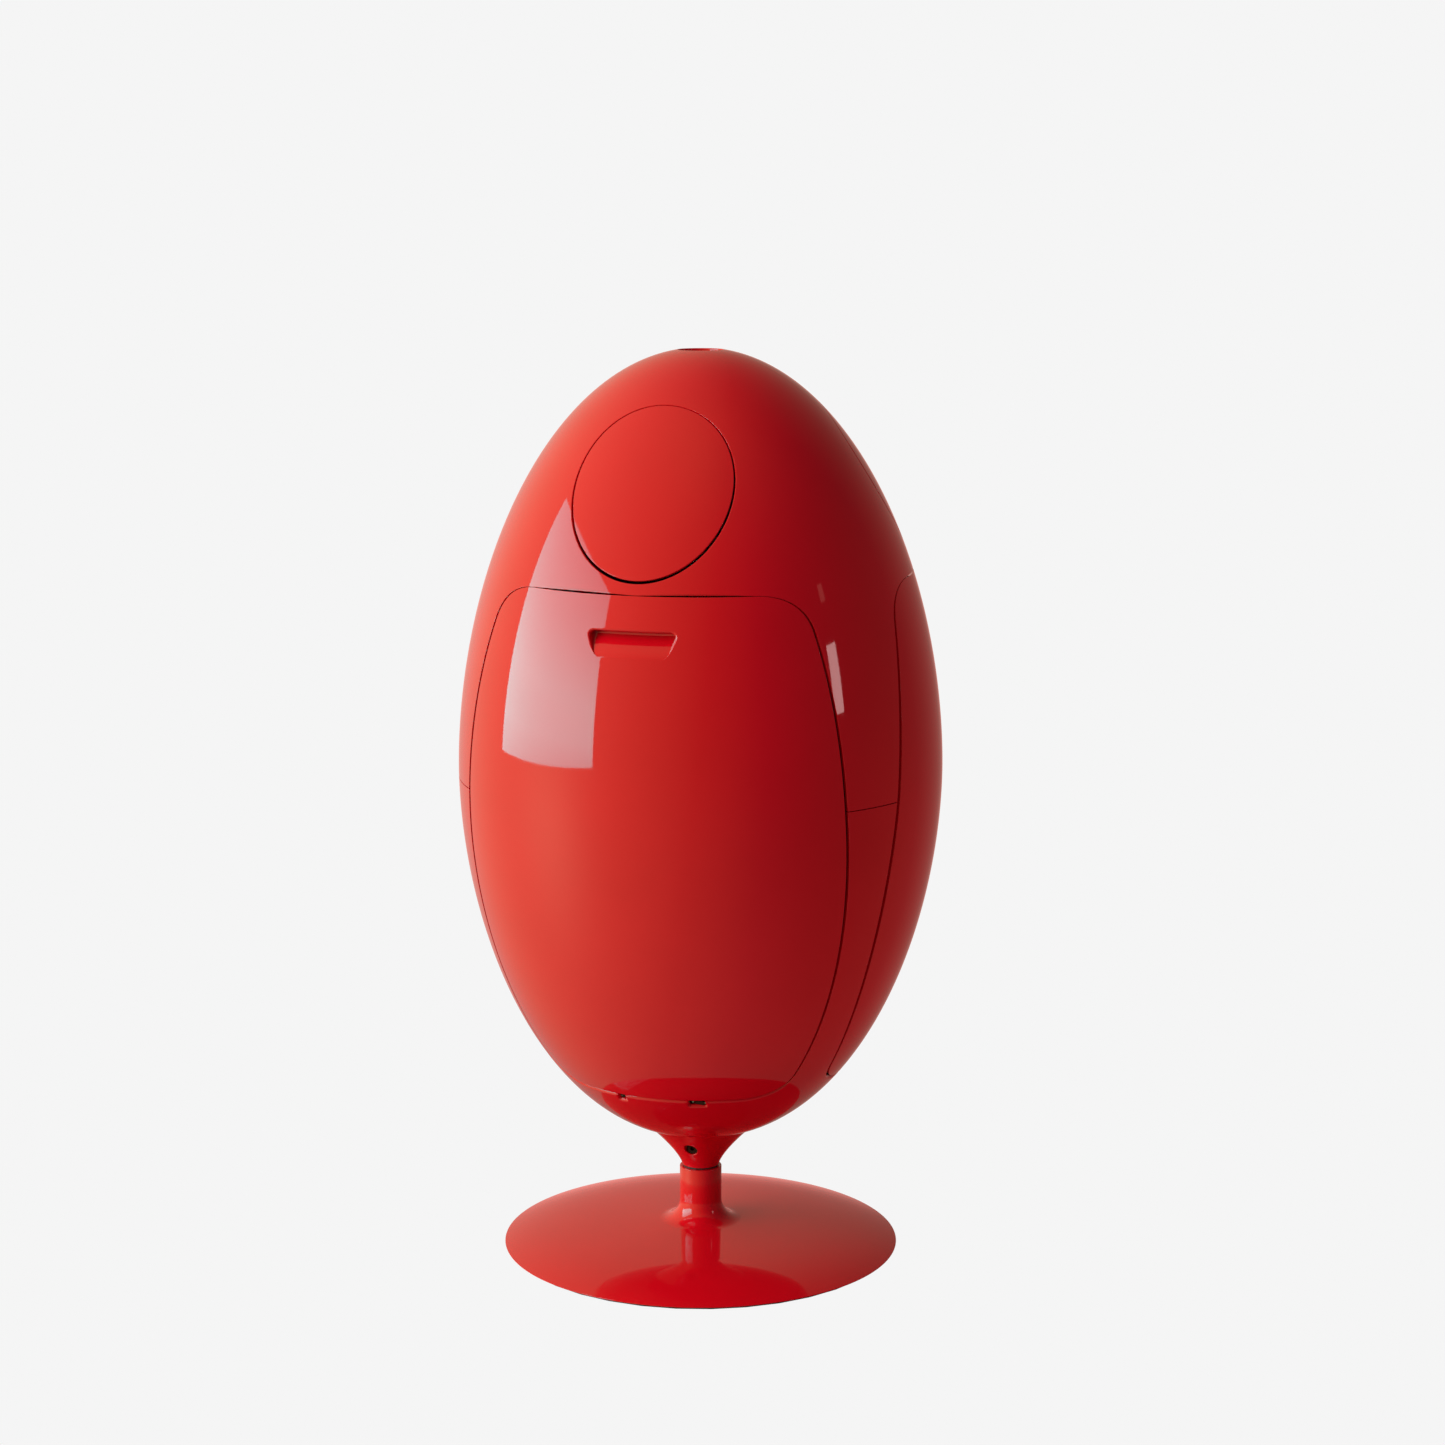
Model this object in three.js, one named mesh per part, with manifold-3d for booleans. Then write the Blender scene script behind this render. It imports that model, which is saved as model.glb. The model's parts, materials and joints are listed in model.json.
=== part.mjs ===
// Egg-shaped waste-sorting bin: three compartments on a swivelling tulip pedestal.
// Millimetres, +Z up. The origin is on the floor under the middle of the base,
// and the first of the three doors faces -Y; the others follow every 120 degrees.
import * as THREE from 'three';
import { mergeVertices } from 'three/addons/utils/BufferGeometryUtils.js';
import Module from 'manifold-3d';

const wasm = await Module();
wasm.setup();

// ---- egg body ----
const TOTAL_HEIGHT = 950;
const EGG_RADIUS = 251;
const EGG_WAIST_Z = 519.3;
const EGG_BOTTOM_Z = 122.9;
const UPPER_CURVE = { height: 1.897, radius: 2.0237 };
const LOWER_CURVE = { height: 1.8689, radius: 2.1605 };
const SHELL = 4;                  // wall of the moulded shells, doors and flaps
const SHELL_SPLIT_Z = 511;
const FIT = 0.4;                  // gap between pieces that touch
const EGG_SEGMENTS = 36;
const EGG_RINGS = 9;              // rings above the waist, and again below it
const SECTORS = 3;                // doors, flaps and buckets

// ---- door, in its own front view ----
const DOOR = {
  top: 724, bottom: 201, halfWidth: 197, widestZ: 480, riseUp: 375, riseDown: 343,
  cornerTopZ: 690, cornerTopX: 112, cornerBottomZ: 224, cornerBottomX: 80,
};
const SEAM = 1;                   // half of the gap round a door
const DOOR_EDGE_BEVEL = 1.2;      // rise of the door's bottom edge per mm inwards
const HINGE = { u: 134.5, z: 197, pin: 1.6, knuckle: 3.2, x: 40, widths: [3.5, 11] };  // left, right
const HINGE_SLOT = { widths: [7.5, 16], bottom: 193.3 };
const POCKET = { top: 690.5, bottom: 664, topWidth: 92, bottomWidth: 72, depth: 21, wall: 3 };

// ---- push flap ----
const FLAP_HOLE = { radius: 82.5, z: 817.5 };
const FLAP_DISC = { radius: 80.8, z: 818.6 };
const FLAP_HINGE = { u: 107.5, z: 891.5, pin: 1.5, knuckle: 3.2 };

// ---- pedestal ----
const BASE_RADIUS = 209;
const BASE_RIM_Z = 4.2;
const STEM_RADIUS = 21.1;
const STEM_TOP = 84;
const NECK_BOTTOM = 86;
const NECK_RADIUS = 19.6;
const NECK_TOP_RADIUS = 57;
const NECK_TOP = 131.9;
const SPIGOT = { radius: 26, bore: 13, top: 186 };
const SPINDLE = { radius: 9, top: 150, groove: 2.5 };
const SCREW_Z = 111;
const DECK = { radius: 130.5, z: 186.4, thickness: 4 };

// ---- inside ----
const POST_RADIUS = 12;
const WALL = 3;
const BUCKET = {
  bottom: 212, top: 655, back: 44, backHalf: 60, bendU: 80, halfWidth: 116, offset: 12, wall: 2.5,
};
const APEX_RECESS = 23.5;

const degrees = THREE.MathUtils.degToRad;

// ------------------------------------------------------------ solids

function toSolid(geometry) {
  // A closed three.js geometry as a manifold solid with its faces pointing out.
  geometry.deleteAttribute('normal');
  geometry.deleteAttribute('uv');
  const merged = mergeVertices(geometry, 1e-4);
  const p = merged.attributes.position.array;
  const kept = [];
  let volume = 0;
  for (let i = 0; i < merged.index.count; i += 3) {
    const [a, b, c] = [0, 1, 2].map((k) => merged.index.array[i + k]);
    if (a === b || b === c || a === c) continue;
    kept.push(a, b, c);
    const [va, vb, vc] = [a, b, c].map((k) => new THREE.Vector3(p[3 * k], p[3 * k + 1], p[3 * k + 2]));
    volume += va.dot(vb.cross(vc));
  }
  if (volume < 0) kept.reverse();
  return new wasm.Manifold(new wasm.Mesh({
    numProp: 3, vertProperties: new Float32Array(p), triVerts: new Uint32Array(kept),
  }));
}

function toGeometry(solid) {
  const mesh = solid.getMesh();
  const geometry = new THREE.BufferGeometry();
  geometry.setAttribute('position', new THREE.BufferAttribute(mesh.vertProperties, 3));
  geometry.setIndex(new THREE.BufferAttribute(mesh.triVerts, 1));
  geometry.computeVertexNormals();
  return geometry;
}

function turned(profile, segments) {
  // A solid of revolution about +Z from [radius, height] pairs.
  const points = profile.map(([r, z]) => new THREE.Vector2(r, z));
  return toSolid(new THREE.LatheGeometry(points, segments).rotateX(Math.PI / 2));
}

function ring(inner, outer, bottom, top, segments) {
  return turned([[inner, bottom], [outer, bottom], [outer, top], [inner, top], [inner, bottom]], segments);
}

function rod(radius, from, to, segments) {
  return turned([[0, from], [radius, from], [radius, to], [0, to]], segments);
}

function outwardPrism(shape, from, to, curveSegments = 5) {
  // A front-view outline (x across, y up) run outwards from u = from to u = to along -Y.
  const options = { depth: to - from, bevelEnabled: false, curveSegments };
  const geometry = new THREE.ExtrudeGeometry(shape, options);
  return toSolid(geometry.translate(0, 0, from).rotateX(Math.PI / 2));
}

function sidewaysPrism(outline, centre, width) {
  // A side-view outline of [u, z] pairs, u outwards along -Y, run across the door along X.
  const shape = new THREE.Shape(outline.map(([u, z]) => new THREE.Vector2(u, z)));
  const geometry = new THREE.ExtrudeGeometry(shape, { depth: width, bevelEnabled: false });
  const basis = new THREE.Matrix4().makeBasis(
    new THREE.Vector3(0, -1, 0), new THREE.Vector3(0, 0, 1), new THREE.Vector3(-1, 0, 0));
  return toSolid(geometry.translate(0, 0, -width / 2).applyMatrix4(basis).translate(centre, 0, 0));
}

function crossRod(radius, at, fromX, toX, segments = 12) {
  // A round bar along X at u = at.u, z = at.z.
  const geometry = new THREE.CylinderGeometry(radius, radius, toX - fromX, segments);
  return toSolid(geometry.rotateZ(Math.PI / 2).translate((fromX + toX) / 2, -at.u, at.z));
}

function outwardRod(radius, z, from, to, segments) {
  const geometry = new THREE.CylinderGeometry(radius, radius, to - from, segments);
  return toSolid(geometry.translate(0, -(from + to) / 2, z));
}

function block(halfWidth, from, to, bottom, top, centre = 0) {
  // A box in the door's frame: across X, outwards from u = from to u = to, up from bottom to top.
  const geometry = new THREE.BoxGeometry(2 * halfWidth, to - from, top - bottom);
  return toSolid(geometry.translate(centre, -(from + to) / 2, (bottom + top) / 2));
}

// ------------------------------------------------------------ egg form

function eggRadius(z) {
  const above = z >= EGG_WAIST_Z;
  const curve = above ? UPPER_CURVE : LOWER_CURVE;
  const end = above ? TOTAL_HEIGHT : EGG_BOTTOM_Z;
  const t = Math.min(1, (z - EGG_WAIST_Z) / (end - EGG_WAIST_Z));
  return EGG_RADIUS * (1 - t ** curve.height) ** (1 / curve.radius);
}

function eggProfile(offset) {
  // The egg's outline from the bottom to the apex, moved inwards along its normal.
  const points = [];
  const rings = 2 * EGG_RINGS;
  for (let i = 1; i < rings; i += 1) {
    const turn = (i / rings - 0.5) * Math.PI;
    const span = turn > 0 ? TOTAL_HEIGHT - EGG_WAIST_Z : EGG_WAIST_Z - EGG_BOTTOM_Z;
    const z = EGG_WAIST_Z + span * Math.sin(turn);
    const slope = (eggRadius(z + 0.1) - eggRadius(z - 0.1)) / 0.2;
    const length = Math.hypot(1, slope);
    points.push([eggRadius(z) - offset / length, z + (offset * slope) / length]);
  }
  return [[0, EGG_BOTTOM_Z + offset], ...points, [0, TOTAL_HEIGHT - offset]];
}

function eggSolid(offset) {
  return turned(eggProfile(offset), EGG_SEGMENTS);
}

function eggLayer(from, to) {
  // The skin between two depths below the egg's surface.
  return eggSolid(from).subtract(eggSolid(to));
}

const shellLayer = eggLayer(0, SHELL);

function doorOutline(grow) {
  // Flat top and bottom edges, two half-ellipses down the sides and rounded corners.
  const top = DOOR.top + grow;
  const bottom = DOOR.bottom - grow;
  const side = (z) => {
    const rise = z > DOOR.widestZ ? DOOR.riseUp : DOOR.riseDown;
    return (DOOR.halfWidth + grow) * Math.sqrt(1 - ((z - DOOR.widestZ) / rise) ** 2);
  };
  const steps = 8;
  const rising = [];
  for (let i = 0; i <= steps; i += 1) {
    const z = DOOR.cornerBottomZ + ((DOOR.cornerTopZ - DOOR.cornerBottomZ) * i) / steps;
    rising.push([side(z), z]);
  }
  const shape = new THREE.Shape();
  shape.moveTo(-DOOR.cornerBottomX, bottom);
  shape.lineTo(DOOR.cornerBottomX, bottom);
  shape.quadraticCurveTo(side(bottom), bottom, ...rising[0]);
  rising.slice(1).forEach(([x, z]) => shape.lineTo(x, z));
  shape.quadraticCurveTo(side(top), top, DOOR.cornerTopX, top);
  shape.lineTo(-DOOR.cornerTopX, top);
  shape.quadraticCurveTo(-side(top), top, -rising[steps][0], rising[steps][1]);
  rising.reverse().slice(1).forEach(([x, z]) => shape.lineTo(-x, z));
  shape.quadraticCurveTo(-side(bottom), bottom, -DOOR.cornerBottomX, bottom);
  return shape;
}

// ------------------------------------------------------------ pedestal

function baseTop(r) {
  // Height of the disc's upper face: nearly flat by the stem, rolling down more and more to the rim.
  return BASE_RIM_Z + 0.051 * (BASE_RADIUS - r) + 12.8 * (1 - (r / BASE_RADIUS) ** 5);
}

function baseDisc() {
  // A shallow dome of even thickness, filleted into a straight stem; hollow underneath.
  const fillet = { radius: 22, r: STEM_RADIUS + 22, z: baseTop(STEM_RADIUS + 22) + 22 };
  const profile = [[9.4, 21], [9.4, STEM_TOP], [STEM_RADIUS, STEM_TOP], [STEM_RADIUS, fillet.z]];
  for (let i = 1; i <= 5; i += 1) {
    const a = degrees((86 * i) / 5);
    profile.push([fillet.r - fillet.radius * Math.cos(a), fillet.z - fillet.radius * Math.sin(a)]);
  }
  const outwards = [90, 130, 155, 172, 185, 195, 203, BASE_RADIUS - 1];
  outwards.forEach((r) => profile.push([r, baseTop(r)]));
  profile.push([BASE_RADIUS, BASE_RIM_Z - 0.3], [BASE_RADIUS - 0.5, 3.5], [BASE_RADIUS - 24, 3.5]);
  const inwards = [185, 172, 150, 120];
  inwards.forEach((r) => profile.push([r - 2, baseTop(r) - 4.4]));
  profile.push([42, 20.4], [16, 20.8], [9.4, 21]);
  return turned(profile, EGG_SEGMENTS);
}

function ballastPlate() {
  return turned([[9.6, 5], [150, 5], [150, 7], [42, 17.5], [16, 18.6], [9.6, 18.6], [9.6, 5]], 24);
}

function spindle() {
  const neckIn = SPINDLE.radius - SPINDLE.groove;
  return turned([
    [0, 1.2], [7, 1.2], [7, 8], [SPINDLE.radius, 8], [SPINDLE.radius, SCREW_Z - 4], [neckIn, SCREW_Z - 3.4],
    [neckIn, SCREW_Z + 3.4], [SPINDLE.radius, SCREW_Z + 4], [SPINDLE.radius, SPINDLE.top - 2],
    [SPINDLE.radius - 2, SPINDLE.top], [0, SPINDLE.top],
  ], 16);
}

function neckFlare(z) {
  return NECK_RADIUS + (NECK_TOP_RADIUS - NECK_RADIUS) * ((z - NECK_BOTTOM) / (NECK_TOP - NECK_BOTTOM)) ** 1.35;
}

function neckCollar() {
  // A trumpet that flares up to the egg, a spigot that carries the deck and a radial screw hole.
  const profile = [[SPIGOT.bore, NECK_BOTTOM], [NECK_RADIUS, NECK_BOTTOM]];
  const steps = 6;
  for (let i = 1; i <= steps; i += 1) {
    const z = NECK_BOTTOM + ((NECK_TOP - NECK_BOTTOM) * i) / steps;
    profile.push([neckFlare(z), z]);
  }
  profile.push([NECK_TOP_RADIUS, 137], [SPIGOT.radius, 137], [SPIGOT.radius, SPIGOT.top]);
  profile.push([SPIGOT.bore, SPIGOT.top], [SPIGOT.bore, NECK_BOTTOM]);
  const counterbore = outwardRod(7, SCREW_Z, 24, 60, 18);
  const throughHole = outwardRod(3.6, SCREW_Z, 8, 30, 14);
  return turned(profile, 28).subtract(counterbore).subtract(throughHole);
}

function swivelBush() {
  return ring(9.5, 12.5, NECK_BOTTOM + 1, SPINDLE.top - 4, 16).subtract(outwardRod(3.6, SCREW_Z, 6, 16, 14));
}

function retainingScrew() {
  const shank = outwardRod(3, SCREW_Z, 7.2, 24.6, 12);
  const head = outwardRod(5.4, SCREW_Z, 24.4, 30, 18);
  const socket = outwardRod(2.6, SCREW_Z, 26.5, 32, 6);
  return shank.add(head).subtract(socket);
}

function clampRing() {
  const inner = SPIGOT.radius + FIT;
  return turned([[inner, 137.5], [57, 137.6], [76, 146], [76, 149.5], [57, 142], [inner, 142], [inner, 137.5]], 24);
}

// ------------------------------------------------------------ shells

const sectorTurn = (index) => degrees((360 * index) / SECTORS);

function turnAbout(solid, angle) {
  // A solid built in the first door's frame, turned about +Z to another sector.
  return solid.rotate([0, 0, THREE.MathUtils.radToDeg(angle)]);
}

function cutAllSectors(solid, tool) {
  let result = solid;
  for (let i = 0; i < SECTORS; i += 1) result = result.subtract(turnAbout(tool, sectorTurn(i)));
  return result;
}

const doorway = outwardPrism(doorOutline(SEAM), 60, 300);

function lowerShell() {
  const below = rod(300, 100, SHELL_SPLIT_Z - FIT / 2, 12);
  const neckHole = rod(NECK_TOP_RADIUS + 0.8, 100, 150, 30);
  const slots = HINGE_SLOT.widths.map((width, i) => block(
    width / 2, HINGE.u - 14, HINGE.u + 30, HINGE_SLOT.bottom, DOOR.bottom + 2, [-HINGE.x, HINGE.x][i]));
  const rodRelief = crossRod(HINGE.pin + FIT, HINGE, -HINGE.x - 3.5, HINGE.x + 7);
  const shell = shellLayer.intersect(below).subtract(neckHole);
  return cutAllSectors(shell, doorway.add(slots[0]).add(slots[1]).add(rodRelief));
}

function upperShell() {
  const above = rod(300, SHELL_SPLIT_Z + FIT / 2, 1000, 12);
  const apexHole = rod(APEX_RECESS, 900, 1000, 20);
  const shell = shellLayer.intersect(above).subtract(apexHole);
  return cutAllSectors(shell, doorway.add(outwardRod(FLAP_HOLE.radius, FLAP_HOLE.z, 40, 300, 32)));
}

function strutPiece(from, to, halfAngle, bottom, top) {
  // A piece lining the inside of the strut between the first two doors.
  const reach = 300;
  const spread = reach * Math.tan(degrees(halfAngle));
  const wedge = new THREE.Shape([[0, 0], [spread, -reach], [-spread, -reach]].map((p) => new THREE.Vector2(...p)));
  const geometry = new THREE.ExtrudeGeometry(wedge, { depth: top - bottom, bevelEnabled: false });
  const sector = toSolid(geometry.translate(0, 0, bottom).rotateZ(degrees(60)));
  return eggLayer(from, to).intersect(sector);
}

function dividerWall() {
  // A plate from the centre post to the strut between the first two doors.
  const outline = eggProfile(16.5).filter(([r, z]) => z > 200 && z < 870 && r > 0);
  const foot = DECK.z + DECK.thickness + FIT;
  const inner = POST_RADIUS + 1;
  const points = [[inner, foot], [112, foot], ...outline, [inner, 880]];
  return sidewaysPrism(points, 0, WALL).rotate([0, 0, 60]);
}

function centrePost() {
  const stud = 4.2;
  return turned([
    [0, 160], [POST_RADIUS, 160], [POST_RADIUS, 925.6], [stud, 925.6], [stud, 937.5], [0, 937.5],
  ], 16);
}

function deckPlate() {
  return ring(POST_RADIUS + 0.7, DECK.radius, DECK.z, DECK.z + DECK.thickness, 24);
}

function apexCup() {
  const lip = APEX_RECESS - 0.5;
  return turned([
    [5, 926], [lip, 926], [lip, 936.5], [31, 936.5], [31, 939.6], [lip, 941],
    [lip, 945.6], [lip - 2.4, 945.6], [lip - 2.4, 930], [5, 930], [5, 926],
  ], 20);
}

function apexNut() {
  return turned([
    [4.6, 930.4], [9, 930.4], [9, 936], [6.5, 940], [0, 941.5], [0, 938.2], [4.6, 938.2], [4.6, 930.4],
  ], 12);
}

// ------------------------------------------------------------ door group

function pocketCavity(grow) {
  // A finger pocket: deep under its top edge, then a ramp that runs out at its bottom edge.
  const half = (width) => width / 2 + grow;
  const corner = 6;
  const top = POCKET.top + grow;
  const bottom = POCKET.bottom - grow;
  const front = new THREE.Shape();
  front.moveTo(-half(POCKET.bottomWidth) + corner, bottom);
  front.lineTo(half(POCKET.bottomWidth) - corner, bottom);
  front.quadraticCurveTo(half(POCKET.bottomWidth), bottom, half(POCKET.bottomWidth) + 2, bottom + corner);
  front.lineTo(half(POCKET.topWidth) - 1, top - corner);
  front.quadraticCurveTo(half(POCKET.topWidth), top, half(POCKET.topWidth) - corner, top);
  front.lineTo(-half(POCKET.topWidth) + corner, top);
  front.quadraticCurveTo(-half(POCKET.topWidth), top, -half(POCKET.topWidth) + 1, top - corner);
  front.lineTo(-half(POCKET.bottomWidth) - 2, bottom + corner);
  front.quadraticCurveTo(-half(POCKET.bottomWidth), bottom, -half(POCKET.bottomWidth) + corner, bottom);
  const face = eggRadius(POCKET.top);
  const side = [
    [face + 30, top], [face - POCKET.depth - grow, top], [face - POCKET.depth - grow, top - 9],
    [face - 12 - grow, POCKET.bottom + 7], [eggRadius(POCKET.bottom) - grow, bottom],
    [face + 30, bottom - 12 + grow],
  ];
  return outwardPrism(front, 150, 260, 3).intersect(sidewaysPrism(side, 0, 140));
}

function doorPanel() {
  const panel = shellLayer.intersect(outwardPrism(doorOutline(-SEAM), 60, 300));
  const edge = DOOR.bottom + SEAM;
  const edgeRadius = eggRadius(edge);
  const undercut = turned([
    [0, edge - 20], [edgeRadius + 20, edge - 20], [edgeRadius + 20, edge - 0.01], [edgeRadius, edge],
    [edgeRadius - 20, edge + 20 * DOOR_EDGE_BEVEL], [0, edge + 20 * DOOR_EDGE_BEVEL],
  ], EGG_SEGMENTS);
  const housing = pocketCavity(POCKET.wall).intersect(eggSolid(0.5));
  return panel.subtract(undercut).add(housing).subtract(pocketCavity(0));
}

function hingeYoke() {
  // Two arms with knuckles, joined by a bar behind the door's foot.
  const lining = eggLayer(SHELL + FIT, SHELL + 5);
  let yoke = lining.intersect(block(HINGE.x + HINGE.widths[1] / 2, 100, 300, 226, 246));
  HINGE.widths.forEach((width, i) => {
    const x = [-HINGE.x, HINGE.x][i];
    const half = width / 2;
    const arm = lining.intersect(block(half, 100, 300, HINGE.z, 240, x));
    yoke = yoke.add(arm).add(crossRod(HINGE.knuckle, HINGE, x - half, x + half));
  });
  return yoke.subtract(crossRod(HINGE.pin + FIT, HINGE, -60, 60));
}

function hingeRod() {
  return crossRod(HINGE.pin, HINGE, -HINGE.x - 3, HINGE.x + 6.5, 10);
}

function hingeBracket() {
  // A foot on the deck with two lugs that hold the hinge rod.
  const floor = DECK.z + DECK.thickness + FIT;
  let bracket = block(30, 108, 126, floor, floor + 3);
  const lug = [
    [112, floor], [128, floor], [HINGE.u + 1.5, HINGE.z - 3], [HINGE.u + 3, HINGE.z],
    [HINGE.u + 2, HINGE.z + 3], [HINGE.u - 3, HINGE.z + 3], [112, floor + 6],
  ];
  const inside = eggSolid(SHELL + FIT);
  for (const side of [-1, 1]) bracket = bracket.add(sidewaysPrism(lug, side * 27, 6).intersect(inside));
  return bracket.subtract(crossRod(HINGE.pin + FIT, HINGE, -60, 60));
}

function bucketPlan(shrink) {
  const points = [
    [-BUCKET.backHalf, -BUCKET.back], [BUCKET.backHalf, -BUCKET.back],
    [BUCKET.halfWidth, -BUCKET.bendU], [BUCKET.halfWidth, -260],
    [-BUCKET.halfWidth, -260], [-BUCKET.halfWidth, -BUCKET.bendU],
  ];
  return new THREE.Shape(points.map(([x, y]) => new THREE.Vector2(
    Math.sign(x) * (Math.abs(x) - shrink), y > -90 ? y - shrink : y)));
}

function bucketBody(shrink, bottom, top) {
  const geometry = new THREE.ExtrudeGeometry(bucketPlan(shrink), { depth: top - bottom, bevelEnabled: false });
  return toSolid(geometry.translate(0, 0, bottom)).intersect(eggSolid(BUCKET.offset + shrink));
}

function bucket() {
  const cavity = bucketBody(BUCKET.wall, BUCKET.bottom + BUCKET.wall, BUCKET.top + 10);
  return bucketBody(0, BUCKET.bottom, BUCKET.top).subtract(cavity);
}

function bucketHanger() {
  // A strap on the door whose channel hooks over the bucket's front rim.
  const strap = eggLayer(SHELL + FIT, SHELL + 3).intersect(block(62, 100, 300, 612, 659));
  const inside = BUCKET.offset + BUCKET.wall + 0.8;
  const bridge = eggLayer(SHELL + FIT, inside + 2).intersect(block(36, 100, 300, BUCKET.top + 0.8, 659));
  const hook = eggLayer(inside, inside + 2).intersect(block(36, 100, 300, 642, 659));
  return strap.add(bridge).add(hook);
}

// ------------------------------------------------------------ flap group

function flapDisc() {
  return shellLayer.intersect(outwardRod(FLAP_DISC.radius, FLAP_DISC.z, 40, 300, 32));
}

function flapArm() {
  // A pad on the back of the flap and two knuckles on the hinge pin.
  const inside = eggSolid(SHELL + FIT);
  let arm = eggLayer(SHELL + FIT, SHELL + 3.5).intersect(block(12, 80, 300, 845, 885));
  const link = [
    [FLAP_HINGE.u - 2.6, FLAP_HINGE.z + 1], [FLAP_HINGE.u + 2.8, FLAP_HINGE.z + 1],
    [128, 879], [124, 868], [FLAP_HINGE.u + 1, 886],
  ];
  for (const side of [-1, 1]) {
    const x = side * 9.5;
    arm = arm.add(sidewaysPrism(link, x, 5).intersect(inside));
    arm = arm.add(crossRod(FLAP_HINGE.knuckle, FLAP_HINGE, x - 2.5, x + 2.5, 10));
  }
  return arm.subtract(crossRod(FLAP_HINGE.pin + FIT, FLAP_HINGE, -30, 30));
}

function flapBracket() {
  const inside = eggSolid(SHELL + FIT);
  let bracket = eggLayer(SHELL + FIT, SHELL + 3.5).intersect(block(19, 20, 300, 903, 922));
  const lug = [
    [FLAP_HINGE.u - 3, FLAP_HINGE.z - 2.5], [FLAP_HINGE.u + 2.4, FLAP_HINGE.z - 2.5],
    [FLAP_HINGE.u + 3, FLAP_HINGE.z + 2], [106, 906], [88, 918], [84, 913],
  ];
  for (const side of [-1, 1]) bracket = bracket.add(sidewaysPrism(lug, side * 16.5, 4).intersect(inside));
  return bracket.subtract(crossRod(FLAP_HINGE.pin + FIT, FLAP_HINGE, -30, 30));
}

class SpringCurve extends THREE.Curve {
  // A close coil round the flap's pin with a straight tang at each end.
  getPoint(t, target = new THREE.Vector3()) {
    const turns = 3.25;
    const radius = 2.9;
    const angle = 2 * Math.PI * turns * t;
    return target.set(
      -4.6 + 9.2 * t, -FLAP_HINGE.u - radius * Math.cos(angle), FLAP_HINGE.z + radius * Math.sin(angle));
  }
}

function flapSpring() {
  const corners = [0, 1, 2, 3, 4].map((i) => degrees(72 * i));
  const wire = new THREE.Shape(corners.map((a) => new THREE.Vector2(0.5 * Math.cos(a), 0.5 * Math.sin(a))));
  const options = { extrudePath: new SpringCurve(), steps: 26, bevelEnabled: false };
  return toSolid(new THREE.ExtrudeGeometry(wire, options));
}

// ------------------------------------------------------------ assembly

const finishes = {
  red: { color: 0xb3121c, roughness: 0.12, metalness: 0 },
  dark: { color: 0x2b2b2e, roughness: 0.55, metalness: 0 },
  grey: { color: 0x8d9094, roughness: 0.5, metalness: 0 },
  steel: { color: 0xb9bcc0, roughness: 0.32, metalness: 1 },
  rubber: { color: 0x1c1c1e, roughness: 0.9, metalness: 0 },
  nylon: { color: 0x2a2a2c, roughness: 0.5, metalness: 0 },
};

const bin = new THREE.Group();

function add(name, solid, finish, parent = bin) {
  const mesh = new THREE.Mesh(toGeometry(solid), new THREE.MeshStandardMaterial(finishes[finish]));
  mesh.name = name;
  parent.add(mesh);
}

add('base_disc', baseDisc(), 'red');
add('ballast_plate', ballastPlate(), 'steel');
add('foot_ring', ring(BASE_RADIUS - 22, BASE_RADIUS - 6, 0, 3.2, EGG_SEGMENTS), 'rubber');
add('spindle', spindle(), 'steel');
add('spindle_nut', ring(8.4, 14, 1.2, 4.7, 6), 'steel');
add('thrust_washer', ring(9.4, 18.8, STEM_TOP + 0.3, NECK_BOTTOM - 0.3, 16), 'nylon');
add('neck_collar', neckCollar(), 'red');
add('swivel_bush', swivelBush(), 'nylon');
add('retaining_screw', retainingScrew(), 'steel');
add('clamp_ring', clampRing(), 'steel');
add('lower_shell', lowerShell(), 'red');
add('upper_shell', upperShell(), 'red');
add('deck', deckPlate(), 'grey');
add('centre_post', centrePost(), 'steel');
add('apex_cup', apexCup(), 'red');
add('apex_nut', apexNut(), 'steel');

const sectorPieces = {
  divider_wall: [dividerWall(), 'grey'],
  splice_plate: [strutPiece(SHELL + FIT, SHELL + 3.5, 5.5, 482, 540), 'steel'],
  catch_block: [strutPiece(SHELL + 0.8, SHELL + 10, 11, 590, 630), 'dark'],
  hinge_rod: [hingeRod(), 'steel'],
  hinge_bracket: [hingeBracket(), 'steel'],
  flap_pin: [crossRod(FLAP_HINGE.pin, FLAP_HINGE, -19.5, 19.5, 10), 'steel'],
  flap_bracket: [flapBracket(), 'steel'],
  flap_spring: [flapSpring(), 'steel'],
  door_panel: [doorPanel(), 'red'],
  hinge_yoke: [hingeYoke(), 'steel'],
  bucket: [bucket(), 'dark'],
  bucket_hanger: [bucketHanger(), 'steel'],
  flap_disc: [flapDisc(), 'red'],
  flap_arm: [flapArm(), 'dark'],
};

for (let i = 0; i < SECTORS; i += 1) {
  const sector = new THREE.Group();
  sector.rotation.z = sectorTurn(i);
  bin.add(sector);
  for (const [name, [solid, finish]] of Object.entries(sectorPieces)) {
    add(`${name}_${i + 1}`, solid, finish, sector);
  }
}

export default bin;
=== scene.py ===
"""Looks of the egg-shaped sorting bin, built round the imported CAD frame. Units are metres, +Z up.

The CAD shells are faceted. Here each red skin is a fine closed mesh on the exact egg surface,
with rounded edges along its seams and the surface's true normals, so that reflections run smoothly.
Azimuth 0 is -Y, where the first door faces, and +90 degrees is +X.
"""
import json
import math

import bpy
import numpy as np
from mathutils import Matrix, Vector
from mathutils.geometry import delaunay_2d_cdt


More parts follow.
